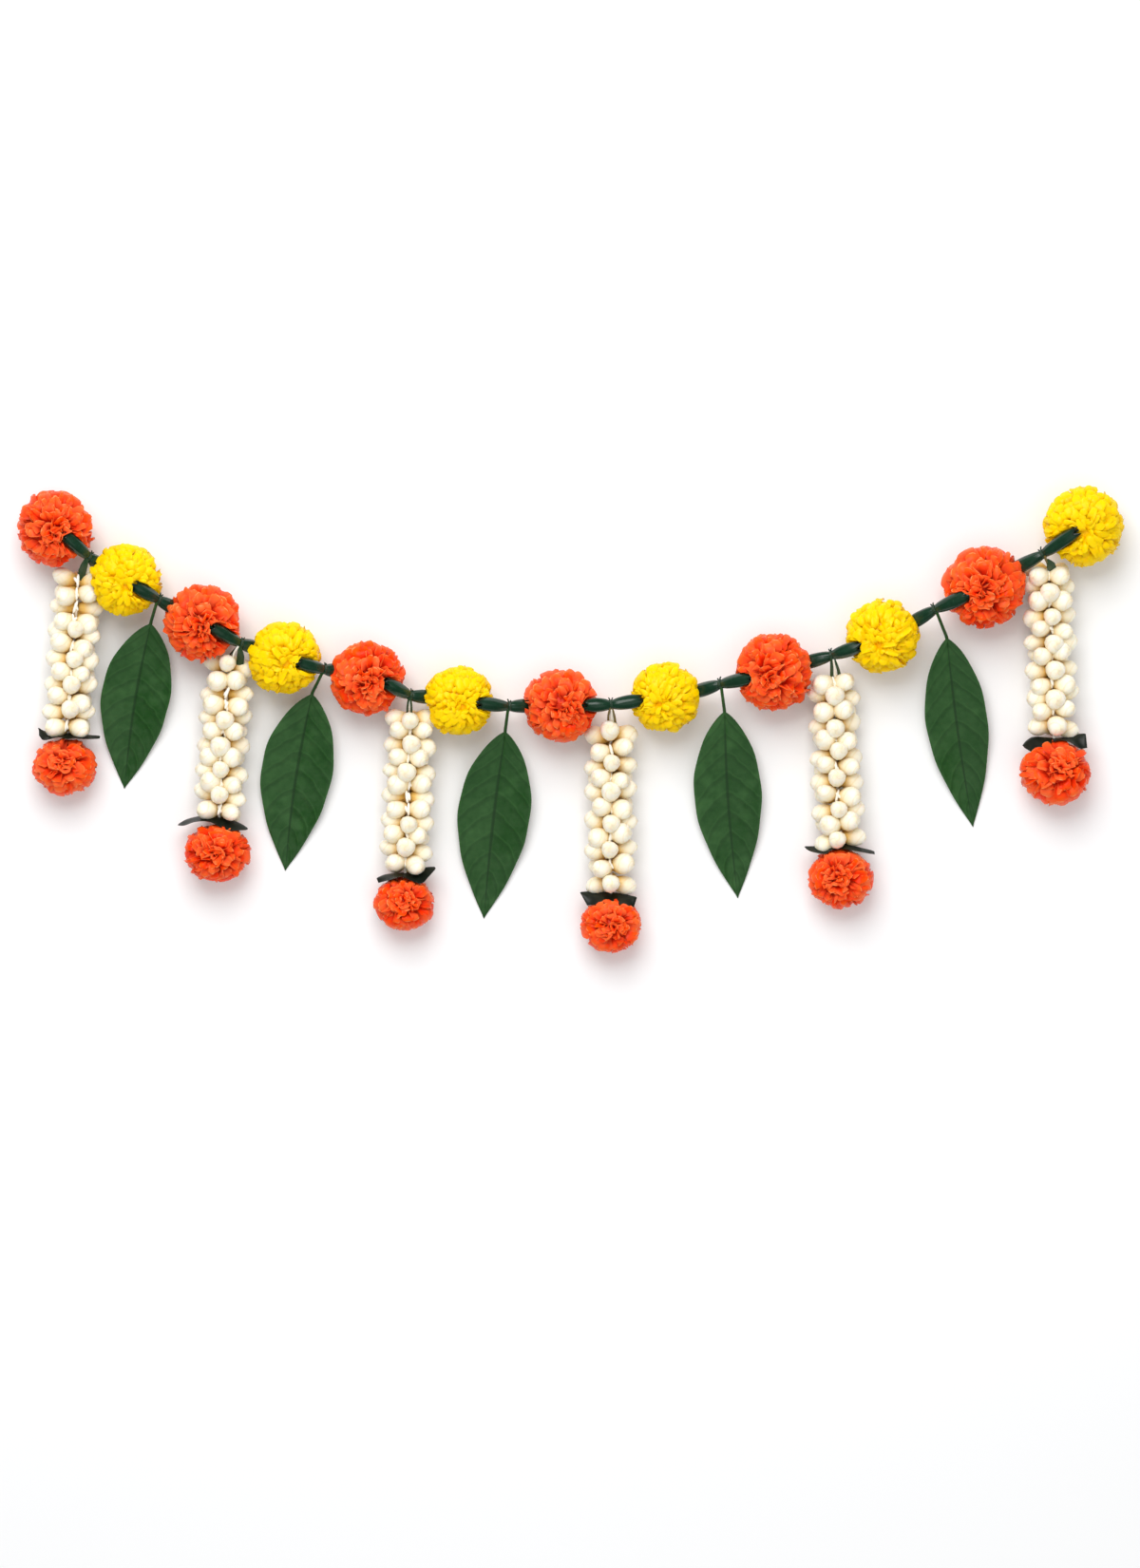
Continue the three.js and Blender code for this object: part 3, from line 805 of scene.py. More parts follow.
class Tint(Enum):
    """The garland's finishes."""

    ORANGE = PetalFinish(
        name="orange_petals",
        slot="orange_petals",
        deep=(0.78, 0.014, 0.0),
        shade=(1.0, 0.044, 0.0),
        body=(1.0, 0.088, 0.001),
        edge=(1.0, 0.38, 0.13),
        roughness=0.26,
    )
    YELLOW = PetalFinish(
        name="yellow_petals",
        slot="yellow_petals",
        deep=(1.0, 0.53, 0.0),
        shade=(1.0, 0.61, 0.0),
        body=(1.0, 0.65, 0.0),
        edge=(1.0, 0.76, 0.01),
        roughness=0.24,
    )
    IVORY = BudFinish("ivory_buds", "bud_ivory", (0.94, 0.85, 0.64), (0.84, 0.55, 0.15), (0.98, 0.95, 0.84))
    LEAF = LeafFinish(
        "leaf_green", "leaf_green", (0.009, 0.052, 0.008), (0.036, 0.120, 0.028), (0.006, 0.032, 0.006)
    )
    SLEEVE = FilmFinish(
        "sleeve_film", "sleeve_green", (0.006, 0.025, 0.012), (0.018, 0.070, 0.038), 0.24, 0.2, 16.0
    )
    CAP = FilmFinish("cap_leaf", "cap_green", (0.004, 0.007, 0.004), (0.012, 0.022, 0.014), 0.4, 0.03, 9.0)
    WIRE = CordFinish("tie_green", "tie_green", (0.018, 0.055, 0.028), (0.010, 0.034, 0.017), 14.0, 0.35)
    STRIP = FilmFinish("hanger_strip", "tie_green", (0.01, 0.038, 0.016), (0.06, 0.12, 0.05), 0.35, 0.2, 7.0)
    GOLD = CordFinish("hanger_gold", "tie_green", (0.24, 0.18, 0.05), (0.12, 0.08, 0.02), 6.0, 0.35)
    WHITE = CordFinish("white_thread", "cord_white", (0.96, 0.94, 0.87), (0.92, 0.88, 0.77), 1.5, 0.5)


@cache
def material_of(tint: Tint) -> bpy.types.Material:
    """The material of a finish, made at its first use."""
    return tint.value.make()


def piece(name: str, surfaces: list[Surface], tint: Tint, node: str) -> None:
    """Builds a finished piece, lets it ride on the garland and puts it in place of its CAD node.

    Args:
        name: The piece's name.
        surfaces: What it is made of.
        tint: Its finish.
        node: The CAD node.
    """
    made = build(name, surfaces)
    made.data.materials.append(material_of(tint))
    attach(made, "root")
    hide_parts(node)
    log.info("%s: %d faces, in place of %s", name, len(made.data.polygons), node)


# ---- Marigolds ----


@dataclass(frozen=True)
class Bloom:
    """How a marigold's petals are set.

    The rows of values go from ring to ring, from the eye outwards. Sizes are over the flower's radius.
    """

    count: tuple[int, ...]  # petals in each ring
    tip: tuple[float, ...]  # angle of the petals' tips from the eye
    rise: tuple[float, ...]  # how straight the petals rise: their root's angle over their tip's
    width: tuple[float, ...]  # half a petal's width
    cup: tuple[float, ...]  # how far the sides curl up, in radians
    ruffle: tuple[float, ...]  # depth of the folds that fan out to the edge
    rows: int  # of corners along a petal
    columns: int  # of corners across it
    folds: float  # how many waves cross a petal
    scatter: float  # how far tips stray from their ring, in degrees
    root_depth: float  # how far from the middle the petals start
    stagger: float  # how far their tips differ in distance from the middle
    twist: float  # how far they turn about their midlines, in degrees
    curl: float  # how far their tips bend outwards, in degrees
    heart: float  # the radius of the ball inside them
    cupped: float  # the share of petals whose sides curl up: the others' curl down


BROAD = Bloom(  # the end marigolds'
    count=(6, 10, 14, 16, 18, 18, 16, 12, 7, 4),
    tip=(6, 17, 30, 44, 59, 75, 92, 111, 134, 162),
    rise=(0.6, 0.72, 0.75, 0.7, 0.62, 0.56, 0.5, 0.47, 0.45, 0.45),
    width=(0.14, 0.18, 0.21, 0.24, 0.26, 0.27, 0.28, 0.29, 0.31, 0.34),
    cup=(0.6, 0.6, 0.6, 0.6, 0.6, 0.5, 0.5, 0.5, 0.5, 0.4),
    ruffle=(0.040, 0.052, 0.060, 0.062, 0.060, 0.056, 0.050, 0.045, 0.040, 0.040),
    rows=5,
    columns=9,
    folds=1.3,
    scatter=17.0,
    root_depth=0.6,
    stagger=0.08,
    twist=75.0,
    curl=7.0,
    heart=0.7,
    cupped=0.7,
)

FULL = replace(  # the orange heads'
    BROAD,
    count=(8, 14, 19, 22, 24, 24, 21, 16, 10, 5),
    rise=(0.6, 0.72, 0.75, 0.72, 0.68, 0.66, 0.62, 0.58, 0.55, 0.5),
    width=(0.13, 0.16, 0.185, 0.21, 0.225, 0.235, 0.245, 0.26, 0.28, 0.31),
    ruffle=(0.036, 0.046, 0.054, 0.056, 0.056, 0.052, 0.048, 0.045, 0.040, 0.040),
)

FINE = Bloom(  # the yellow heads'
    count=(8, 15, 22, 29, 34, 38, 38, 35, 27, 19, 11, 6),
    tip=(6, 15, 25, 36, 48, 61, 75, 90, 106, 123, 142, 165),
    rise=(0.65, 0.72, 0.76, 0.79, 0.81, 0.82, 0.83, 0.83, 0.83, 0.8, 0.78, 0.75),
    width=(0.11, 0.12, 0.125, 0.13, 0.135, 0.14, 0.14, 0.14, 0.15, 0.16, 0.17, 0.18),
    cup=(1.3,) * 9 + (1.2, 1.0, 0.9),
    ruffle=(0.014,) * 12,
    rows=4,
    columns=7,
    folds=0.8,
    scatter=8.0,
    root_depth=0.72,
    stagger=0.085,
    twist=30.0,
    curl=16.0,
    heart=0.85,
    cupped=0.15,
)


def film_radius(share: Array) -> Array:
    """A sleeve's radius.

    It fills out fast from the waist, as one less a falling exponential, and narrows by the square of the
    share beyond the belly.

    Args:
        share: How far from the waist to a mouth, from 0 to 1.

    Returns:
        The radius.
    """
    waist, belly, mouth, belly_at = 2.5, 6.4, 4.4, 0.5
    swell = mix(waist, belly, 1 - np.exp(-3.9 * share))
    return swell + (mouth - belly) * (np.maximum(share - belly_at, 0.0) / (1 - belly_at)) ** 2


@dataclass
class Furrow:
    """The way that a sleeve keeps free over a flower: petals stand aside from it."""

    mouth: Array
    knot: Array
    gap: float = 0.4  # between the sleeve and the petals beside it
    clear: float = 3.0  # on each side of the sleeve's line, where no petal ends
    spread: float = 2.0  # how far the squeezed petals reach, over the sleeve's radius
    shut: float = -3.0  # from the mouth along the sleeve, where the petals begin to part
    open: float = 1.5  # and where they are fully parted

    def __post_init__(self) -> None:
        """Sets up the sleeve's own directions."""
        self.along = unit(self.knot - self.mouth)
        self.across = unit(np.cross(self.along, UP))
        self.over = np.cross(self.across, self.along)

    def covered(self, petals: Array) -> Array:
        """Whether each petal's outer edge lies over the sleeve, where the real one is folded away."""
        edge = petals[:, -1].mean(axis=1) - self.mouth
        return (edge @ self.along > 0.5) & (np.abs(edge @ self.across) < self.clear) & (edge @ self.over > 0)

    def part(self, petals: Array) -> Array:
        """Petals moved to one side of the sleeve, each as a whole.

        The strip over the sleeve is squeezed into the strip outside it. Beside the sleeve a corner keeps
        to its round section, and below it and towards the mouth it stays where it is.

        Args:
            petals: Corners, petals by rows by columns by 3.

        Returns:
            The corners, moved.
        """
        length = np.linalg.norm(self.knot - self.mouth)
        from_mouth = petals - self.mouth
        reach, aside, height = (from_mouth @ axis for axis in (self.along, self.across, self.over))
        width = film_radius(np.clip(1 - reach / length, 0.0, 1.0)) + self.gap
        side = np.where(aside.mean(axis=(1, 2), keepdims=True) >= 0, 1.0, -1.0)
        signed = side * aside
        half = width * np.sqrt(1 - np.clip(height / width, -1.0, 0.0) ** 2)
        outer = self.spread * width
        squeezed = half + np.clip(signed / outer, 0.0, 1.0) * (outer - half)
        inside = (np.abs(aside) < outer) & (height > -width)
        share = smooth(self.shut, self.open, reach)
        moved = np.where(inside, mix(signed, np.maximum(squeezed, signed), share), signed)
        return petals + ((moved - signed) * side)[..., None] * self.across


@dataclass
class Column:
    """A tassel's column of buds, which a flower's petals press against."""

    start: Array
    end: Array
    radius: float = 21.0

    def covered(self, petals: Array) -> Array:
        """No petal is folded away."""
        return np.zeros(len(petals), dtype=bool)

    def part(self, petals: Array) -> Array:
        """Corners inside the column moved straight out to its side.

        Args:
            petals: Any corners.

        Returns:
            The corners, moved.
        """
        span = self.end - self.start
        share = np.clip(((petals - self.start) @ span) / (span @ span), 0.0, 1.0)
        off = petals - (self.start + share[..., None] * span)
        distance = np.linalg.norm(off, axis=-1, keepdims=True)
        return petals + np.where(distance < self.radius, unit(off) * (self.radius - distance), 0.0)


@dataclass
class Marigold:
    """A pompon of ruffled petals round a small heart, a ball painted in the petals' deep shade colour."""

    name: str
    node: str
    bloom: Bloom
    tint: Tint
    seed: int
    eye: Array  # the direction that the flower's eye looks in
    squash: Array = field(default_factory=lambda: RIGHT)
    aspect: float = 1.0
    obstacles: list[Furrow | Column] = field(default_factory=list)
    thickness: float = 0.5

    def __post_init__(self) -> None:
        """Reads the flower's middle and radius from the frame. A squashed flower's far rim stays put."""
        low, high = box_of(self.node)
        wide, deep = (high - low)[:2]
        middle = (low + high) / 2
        self.radius = (wide + deep) / 4
        if self.aspect < 1:
            self.radius = max(wide, deep) / 2
            middle = middle - (self.aspect - END_HEAD_ASPECT) * self.radius * self.squash
        self.centre = np.array([middle[0], middle[1], high[2] - self.radius])

    def spread(self, values: Array) -> Array:
        """Positions set in the garland.

        Args:
            values: Positions from the flower's middle, with its eye at +Z.

        Returns:
            The positions, turned, flattened along the squash and moved.
        """
        across = unit(np.cross(np.array([0.3, 1.0, 0.2]), self.eye))
        turned = values @ np.stack([across, np.cross(self.eye, across), self.eye])
        flat = turned - (1 - self.aspect) * (turned @ self.squash)[..., None] * self.squash
        return self.centre + flat

    def petals(self) -> tuple[Array, Array, Array]:
        """The petals' middle surfaces.

        Petals follow each other by the golden angle, from the eye outwards. A petal's midline leaves its
        root deep in the flower and bends outwards, until its outer part lies along the ball: its angle
        from the eye grows evenly along it and curls out at the tip, and its distance from the middle soon
        reaches the ball's. Each row across it is an arc that curls up or down at the sides, is folded in
        sine waves that grow towards the edge, and is turned about the midline by a random twist. The
        outline is a rounded spoon.

        Returns:
            Corners, petals by rows by columns by 3; the tone at each; and each petal's random number.
        """
        rng = np.random.default_rng(self.seed)
        bloom = self.bloom
        counts = np.array(bloom.count)
        total = int(counts.sum())
        order = np.arange(total)
        middles = np.cumsum(counts) - counts / 2

        def each(label: str) -> Array:
            """A value for each petal, blended from ring to ring, ready to spread over rows and columns."""
            return np.interp(order, middles, getattr(bloom, label))[:, None, None]

        def chance(low: float, high: float) -> Array:
            """A random number for each petal."""
            return rng.uniform(low, high, (total, 1, 1))

        slow, fast = rng.uniform(0, 2 * np.pi, 2)
        turn = GOLDEN_ANGLE * order[:, None, None] + chance(-0.6, 0.6) * each("width")
        scatter = bloom.scatter * np.minimum(each("tip") / 40, 1.0)
        lobes = 0.16 * np.cos(turn + slow) + 0.18 * np.cos(2 * turn + fast)  # the rings aren't quite round
        ragged = each("tip") * (1 + lobes * smooth(170.0, 60.0, each("tip")))
        tip = np.radians(ragged + chance(-1, 1) * scatter)
        root = each("rise") * tip
        v = np.linspace(0, 1, bloom.rows)[None, :, None] ** 0.8
        even = np.linspace(-1, 1, bloom.columns)[None, None, :]
        u = (even + np.sin(np.pi / 2 * even)) / 2
        outline = 0.45 + 0.55 * np.sqrt(1 - 0.98 * u**4)
        along = v * (1 + (outline - 1) * v)
        curl = np.radians(bloom.curl * chance(0.2, 1.3))
        angle = root + (tip - root) * along + curl * along**4
        reach = 1 - (1 - np.minimum(along, 1.0)) ** 2
        distance = mix(bloom.root_depth, 1.0, reach) * (1 + bloom.stagger * chance(-1, 0.7))
        midline = on_ball(angle, turn) * distance[..., None]
        sideways = np.stack(np.broadcast_arrays(-np.sin(turn), np.cos(turn), 0.0), axis=-1)
        upright = unit(np.cross(unit(np.gradient(midline, axis=1)), sideways))
        twist = np.radians(bloom.twist * chance(-1, 1) * smooth(110.0, 50.0, each("tip")))[..., None]
        side = np.cos(twist) * sideways + np.sin(twist) * upright
        face = np.cos(twist) * upright - np.sin(twist) * sideways
        half = each("width") * chance(0.85, 1.2) * (0.3 + 0.7 * smooth(0.0, 0.8, v))
        cup = each("cup") * chance(0.4, 1.3) * np.where(chance(0, 1) < bloom.cupped, 1.0, -0.6)
        lateral = half * np.sin(cup * u) / cup
        wave = np.sin(np.pi * bloom.folds * chance(0.7, 1.3) * u + chance(0, 2 * np.pi))
        lift = half * (1 - np.cos(cup * u)) / cup + each("ruffle") * v**1.3 * wave
        petals = midline + lateral[..., None] * side + lift[..., None] * face
        size = np.linalg.norm(petals, axis=-1, keepdims=True)
        petals *= np.minimum(1.0, (1 + bloom.stagger * chance(-0.5, 1)[..., None]) / size)
        # painted shade: the tone is low at the root and in the troughs of the waves, and reaches 1 at the
        # rim, where the finish paints it paler
        tone = np.clip(0.8 * v + 0.14 * wave * v + 0.16 * v**8, 0, 1)
        return self.spread(petals * self.radius), tone, rng.uniform(0, 1, total)

    def core(self) -> Surface:
        """The flower's heart: a ball with a low tone, which paints it in the petals' deep colour as painted
        shade inside the flower.

        Returns:
            The ball as rings and sides, closed at both poles.
        """
        rings, sides, pole, tone = 10, 18, 0.12, 0.2
        angle = np.linspace(pole, np.pi - pole, rings)[:, None]
        ball = on_ball(angle, round_turns(sides)[None, ::-1])
        corners = self.spread(ball * self.radius * self.bloom.heart)[None]
        for obstacle in self.obstacles:
            corners = obstacle.part(corners)
        return closed_tubes(corners, np.full((1, rings), tone), np.array([0.5]))

    def make(self) -> None:
        """Builds the flower and puts it in place of its CAD node."""
        corners, tone, pick = self.petals()
        for obstacle in self.obstacles:
            kept = ~obstacle.covered(corners)
            corners, tone, pick = obstacle.part(corners[kept]), tone[kept], pick[kept]
        sheets = closed_sheets(rest_on_floor(corners), self.thickness, tone, pick)
        piece(self.name, [sheets, self.core()], self.tint, self.node)


# ---- Sleeves and ties ----


@dataclass
class Sleeve:
    """A creased tube of film round the cord, pinched at its waist and open at both ends."""

    link: Link
    thickness: float = 0.4
    rows: int = 41
    sides: int = 28
    tear: float = 2.0  # how far the torn mouth's teeth reach
    torn_from: float = 0.86  # where the teeth begin, as a share of the way from the waist to a mouth
    bend: float = 0.06  # how softly the path turns at the knot
    bore: float = 1.25  # the least radius inside
    dark: float = 0.1  # the tone at its mouths

    def creases(self, share: Array, turn: Array, rng: np.random.Generator) -> Array:
        """The film's radius over a smooth tube's: nine pleats at the waist fade into a few flat faces.

        Args:
            share: How far from the waist to a mouth, from 0 to 1.
            turn: The angle round the tube.
            rng: Where the folds' phases come from.

        Returns:
            The ratio at each share and turn.
        """
        phase = rng.uniform(0, 2 * np.pi, 3)
        pleats = np.abs(np.sin(4.5 * turn + phase[0])) - 0.6
        flats = 2 * np.abs(np.cos(2.5 * turn + phase[1] + 0.3 * share))
        faces = flats + 0.5 * np.cos(3 * turn + phase[2]) - 1.3
        near_waist = np.exp(-((share / 0.32) ** 2))
        return 1 + 0.16 * pleats * near_waist + 0.04 * faces * (1 - near_waist)

    def make(self) -> None:
        """Builds the sleeve: the outer wall runs from mouth to mouth, and the inner wall back again."""
        rng = np.random.default_rng(100 + self.link.number)
        line = np.linspace(-1, 1, self.rows)
        turns = round_turns(self.sides)
        halves = np.where((line < 0)[:, None], self.link.left, self.link.right)
        reach = np.sqrt(line**2 + self.bend**2) - self.bend * (1 - np.abs(line))
        path = mix(self.link.knot, halves, reach[:, None])
        share = np.abs(line)[:, None]
        outer = film_radius(share) * self.creases(share, turns[None], rng)
        inner = np.maximum(outer - self.thickness, self.bore)
        walls = np.concatenate([swept(path, outer, self.sides), swept(path, inner, self.sides)[::-1]])
        there_and_back = np.concatenate([line, line[::-1]])[:, None]
        near_mouth = smooth(self.torn_from, 1.0, np.abs(there_and_back))
        ends = np.where(there_and_back < 0, -1.0, 1.0)
        jagged = [
            np.sin(4 * turns + rng.uniform(0, 6)) + rng.uniform(-0.7, 0.7, self.sides) for _ in range(2)
        ]
        teeth = self.tear * np.where(ends < 0, *jagged) * near_mouth * ends
        walls = walls + teeth[..., None] * self.link.waist
        loop = np.concatenate([np.arange(len(walls)), [0]])
        quads = grid_quads(len(walls) + 1, self.sides, around=True)
        shape = walls.shape[:2]
        around = np.broadcast_to(np.arange(self.sides) / self.sides, shape)
        along = np.broadcast_to(there_and_back * 0.5 + 0.5, shape)
        surface = Surface(
            corners=walls.reshape(-1, 3),
            quads=(loop[quads // self.sides] * self.sides + quads % self.sides)[:, ::-1],
            uv=np.stack([around, along], axis=-1).reshape(-1, 2),
            tone=(1 - (1 - self.dark) * np.broadcast_to(near_mouth, shape)).ravel(),
            pick=np.full(around.size, rng.uniform()),
        )
        piece(f"sleeve_film_{self.link.number}", [surface], Tint.SLEEVE, f"sleeve_{self.link.number}")


@dataclass
class Tie:
    """Two turns of thin green cord round a sleeve's waist, with a small ear on top."""

    link: Link
    cord: float = 0.85
    turns: float = 2.3
    reach: float = 3.3

    def surfaces(self) -> list[Surface]:
        """The wound cord, which is a helix about the waist, and its ear's two ends.

        Returns:
            The three strands.
        """
        knot, along = self.link.knot, self.link.waist
        across = unit(np.cross(along, UP))
        over = np.cross(across, along)
        rng = np.random.default_rng(200 + self.link.number)
        count = 34
        angle = np.linspace(0, 2 * np.pi * self.turns, count)[:, None] + rng.uniform(0, 2)
        climb = np.linspace(-1, 1, count)[:, None] * self.cord * 1.1
        wound = knot + self.reach * (np.cos(angle) * over + np.sin(angle) * across) + climb * along
        surfaces = [strand(wound, self.cord, 7, rng.uniform(), along)]
        outward = across * np.sign(across[1] + 1e-9)
        top = knot + self.reach * outward
        for side in (-1.0, 1.0):
            tip = outward * rng.uniform(1.8, 3.0) + along * side * rng.uniform(0.8, 2.2)
            ear = curve_through(np.stack([top - outward, top + 0.6 * tip + 0.8 * over, top + tip]), 6)
            surfaces.append(strand(ear, 0.75 * self.cord, 6, rng.uniform(), over))
        return surfaces


# ---- Tassels ----


@dataclass(frozen=True)
class Ribbon:
    """One strand of a hanger.

    Its path is a row of distances to the right of the sleeve's waist and down from it, and its breadths
    are half its width at even steps along the path.
    """

    tint: Tint
    path: tuple[tuple[float, float], ...]
    breadths: tuple[float, ...]
    depth: float = 0.7  # half its thickness
    rise: float = 0.0  # how far it stands above the others


@dataclass(frozen=True)
class TasselStyle:
    """What differs from one tassel to the next.

    The leaf cap's two edges are rows of distances to the right of the tassel's line and down from the
    last buds.
    """

    hanger: tuple[Ribbon, ...]
    upper: tuple[tuple[float, float], ...]  # the cap's far edge
    lower: tuple[tuple[float, float], ...]  # and its near edge
    prong: bool = False  # whether the cap's left end is split by a fold
    whorls: int = 12  # rings of four buds
    turned_first: bool = False  # whether the first ring is turned an eighth, so that none is on top
    fold_height: float = 9.0  # of the cap's near edge above the end marigold's middle
    bare: tuple[int, ...] = ()  # rings that miss their top bud
    tail: float = 0.0  # how much sooner the last buds end
    crown: float = 0.95  # the end marigold's depth over its diameter, which lifts its crown over the cap


TASSELS = {
    1: TasselStyle(
        hanger=(
            Ribbon(Tint.STRIP, ((-0.7, 1.5), (-4.9, 10.5), (-8.0, 19.5)), (1.6, 3.1, 3.3, 2.4)),
            Ribbon(Tint.WHITE, ((-0.2, 4.0), (-1.8, 10.5), (-3.5, 19.0)), (0.8, 2.5, 1.2), rise=-2.5),
        ),
        upper=((-25, -1.8), (-15, 1.2), (0, 0.2), (15, 0.8), (28, 0.9)),
        lower=((-23, 4.0), (-18, 7.7), (-6, 4.2), (0, 5.3), (8, 4.2), (16, 4.2), (28, 3.0)),
        prong=True,
        bare=(0, 2),
        fold_height=14.0,
        crown=0.88,
    ),
    3: TasselStyle(
        hanger=(
            Ribbon(Tint.STRIP, ((-0.2, 2.0), (0.0, 10.5), (-0.9, 17.0), (-1.8, 23.0)), (1.3, 3.2, 3.3, 0.3)),
            Ribbon(Tint.WHITE, ((-1.4, 2.0), (-5.3, 8.0), (-6.7, 14.0), (-7.6, 21.0)), (1.1, 1.1), 1.0),
            Ribbon(Tint.WIRE, ((-2.4, 2.5), (-6.9, 9.0), (-8.2, 16.5)), (0.5, 0.5), 0.5),
        ),
        upper=((-34, 7.2), (-26, 2.2), (-13, -1.1), (4, -0.8), (17, 3.0), (25, 7.0)),
        lower=((-34, 7.6), (-28, 7.6), (-19, 4.0), (-7, 3.2), (7, 9.1), (15, 9.2), (25, 7.8)),
        bare=(2,),
        tail=2.0,
        fold_height=13.0,
        crown=0.90,
    ),
    5: TasselStyle(
        hanger=(
            Ribbon(Tint.STRIP, ((-0.4, 2.0), (-1.8, 8.0), (-2.3, 15.0)), (0.9, 0.9)),
            Ribbon(Tint.STRIP, ((0.5, 2.0), (1.3, 8.0), (1.3, 15.0)), (0.9, 0.9)),
            Ribbon(Tint.WHITE, ((0.0, 3.0), (-0.3, 8.0), (-0.4, 15.0)), (0.6, 0.6), rise=-0.6),
        ),
        upper=((-24, 5.8), (-16, 2.4), (-3, 0.7), (7, -1.0), (17, -4.6), (25, -5.6)),
        lower=((-22, 9.5), (-12, 6.4), (-3, 3.2), (4, 5.8), (14, 8.4), (20, 2.7), (25.6, -4.4)),
        bare=(6,),
        tail=4.0,
        fold_height=14.0,
        crown=0.91,
    ),
    7: TasselStyle(
        hanger=(
            Ribbon(Tint.GOLD, ((-0.5, 2.0), (-2.2, 10.0), (-1.4, 20.0)), (0.9, 1.0)),
            Ribbon(Tint.GOLD, ((0.6, 2.0), (3.0, 10.0), (4.4, 20.0)), (0.9, 1.0)),
            Ribbon(Tint.GOLD, ((-2.6, 13.5), (-3.2, 18.0), (-3.8, 23.5)), (0.6, 1.2, 1.0), rise=-0.5),
            Ribbon(Tint.WHITE, ((0.3, 4.0), (0.9, 12.0), (2.0, 21.0)), (0.7, 1.6, 1.9), 1.0, 0.4),
        ),
        upper=((-26, -1.2), (-12, -1.8), (6, -0.3), (22, 3.0)),
        lower=((-20, 9.7), (-9, 8.0), (0, 7.5), (10, 9.0), (19, 12.5)),
        whorls=11,
        tail=6.0,
        fold_height=12.0,
        crown=0.92,
    ),
    9: TasselStyle(
        hanger=(
            Ribbon(Tint.STRIP, ((-0.4, 2.0), (0.2, 12.0), (0.4, 22.0)), (1.3, 1.5)),
            Ribbon(Tint.STRIP, ((1.6, 2.0), (5.6, 12.0), (7.6, 22.0)), (0.9, 1.2, 2.1)),
            Ribbon(Tint.WHITE, ((1.2, 3.5), (2.7, 12.0), (3.6, 25.0)), (0.8, 1.1), 1.0, 0.5),
        ),
        upper=((-30, 0.0), (-18, 0.2), (-9, -2.6), (-2, -2.8), (11, 1.1), (29, 6.4)),
        lower=((-29, 1.4), (-24, 4.6), (-13, 6.8), (-9, 4.1), (2, 3.2), (11, 5.0), (29, 8.9)),
        turned_first=True,
        fold_height=11.0,
        crown=0.92,
    ),
    11: TasselStyle(
        hanger=(
            Ribbon(Tint.STRIP, ((3.6, 4.5), (7.8, 11.5), (7.4, 19.0)), (1.0, 4.0, 3.8, 0.3), rise=1.0),
            Ribbon(Tint.GOLD, ((1.2, 1.5), (2.6, 5.0), (4.4, 7.5)), (0.9, 1.2, 0.8), 1.0, 1.0),
        ),
        upper=((-27, 6.5), (-22, 2.0), (-15, -0.5), (3, 1.4), (18, -1.1), (26.5, -1.5)),
        lower=(
            (-26.5, 7.6), (-22, 11), (-17.5, 13), (-10, 7.6), (2, 3.5), (11, 4.6), (20, 10.6), (26.9, 10.4)
        ),
        turned_first=True,
        tail=6.0,
        crown=0.92,
    ),
}


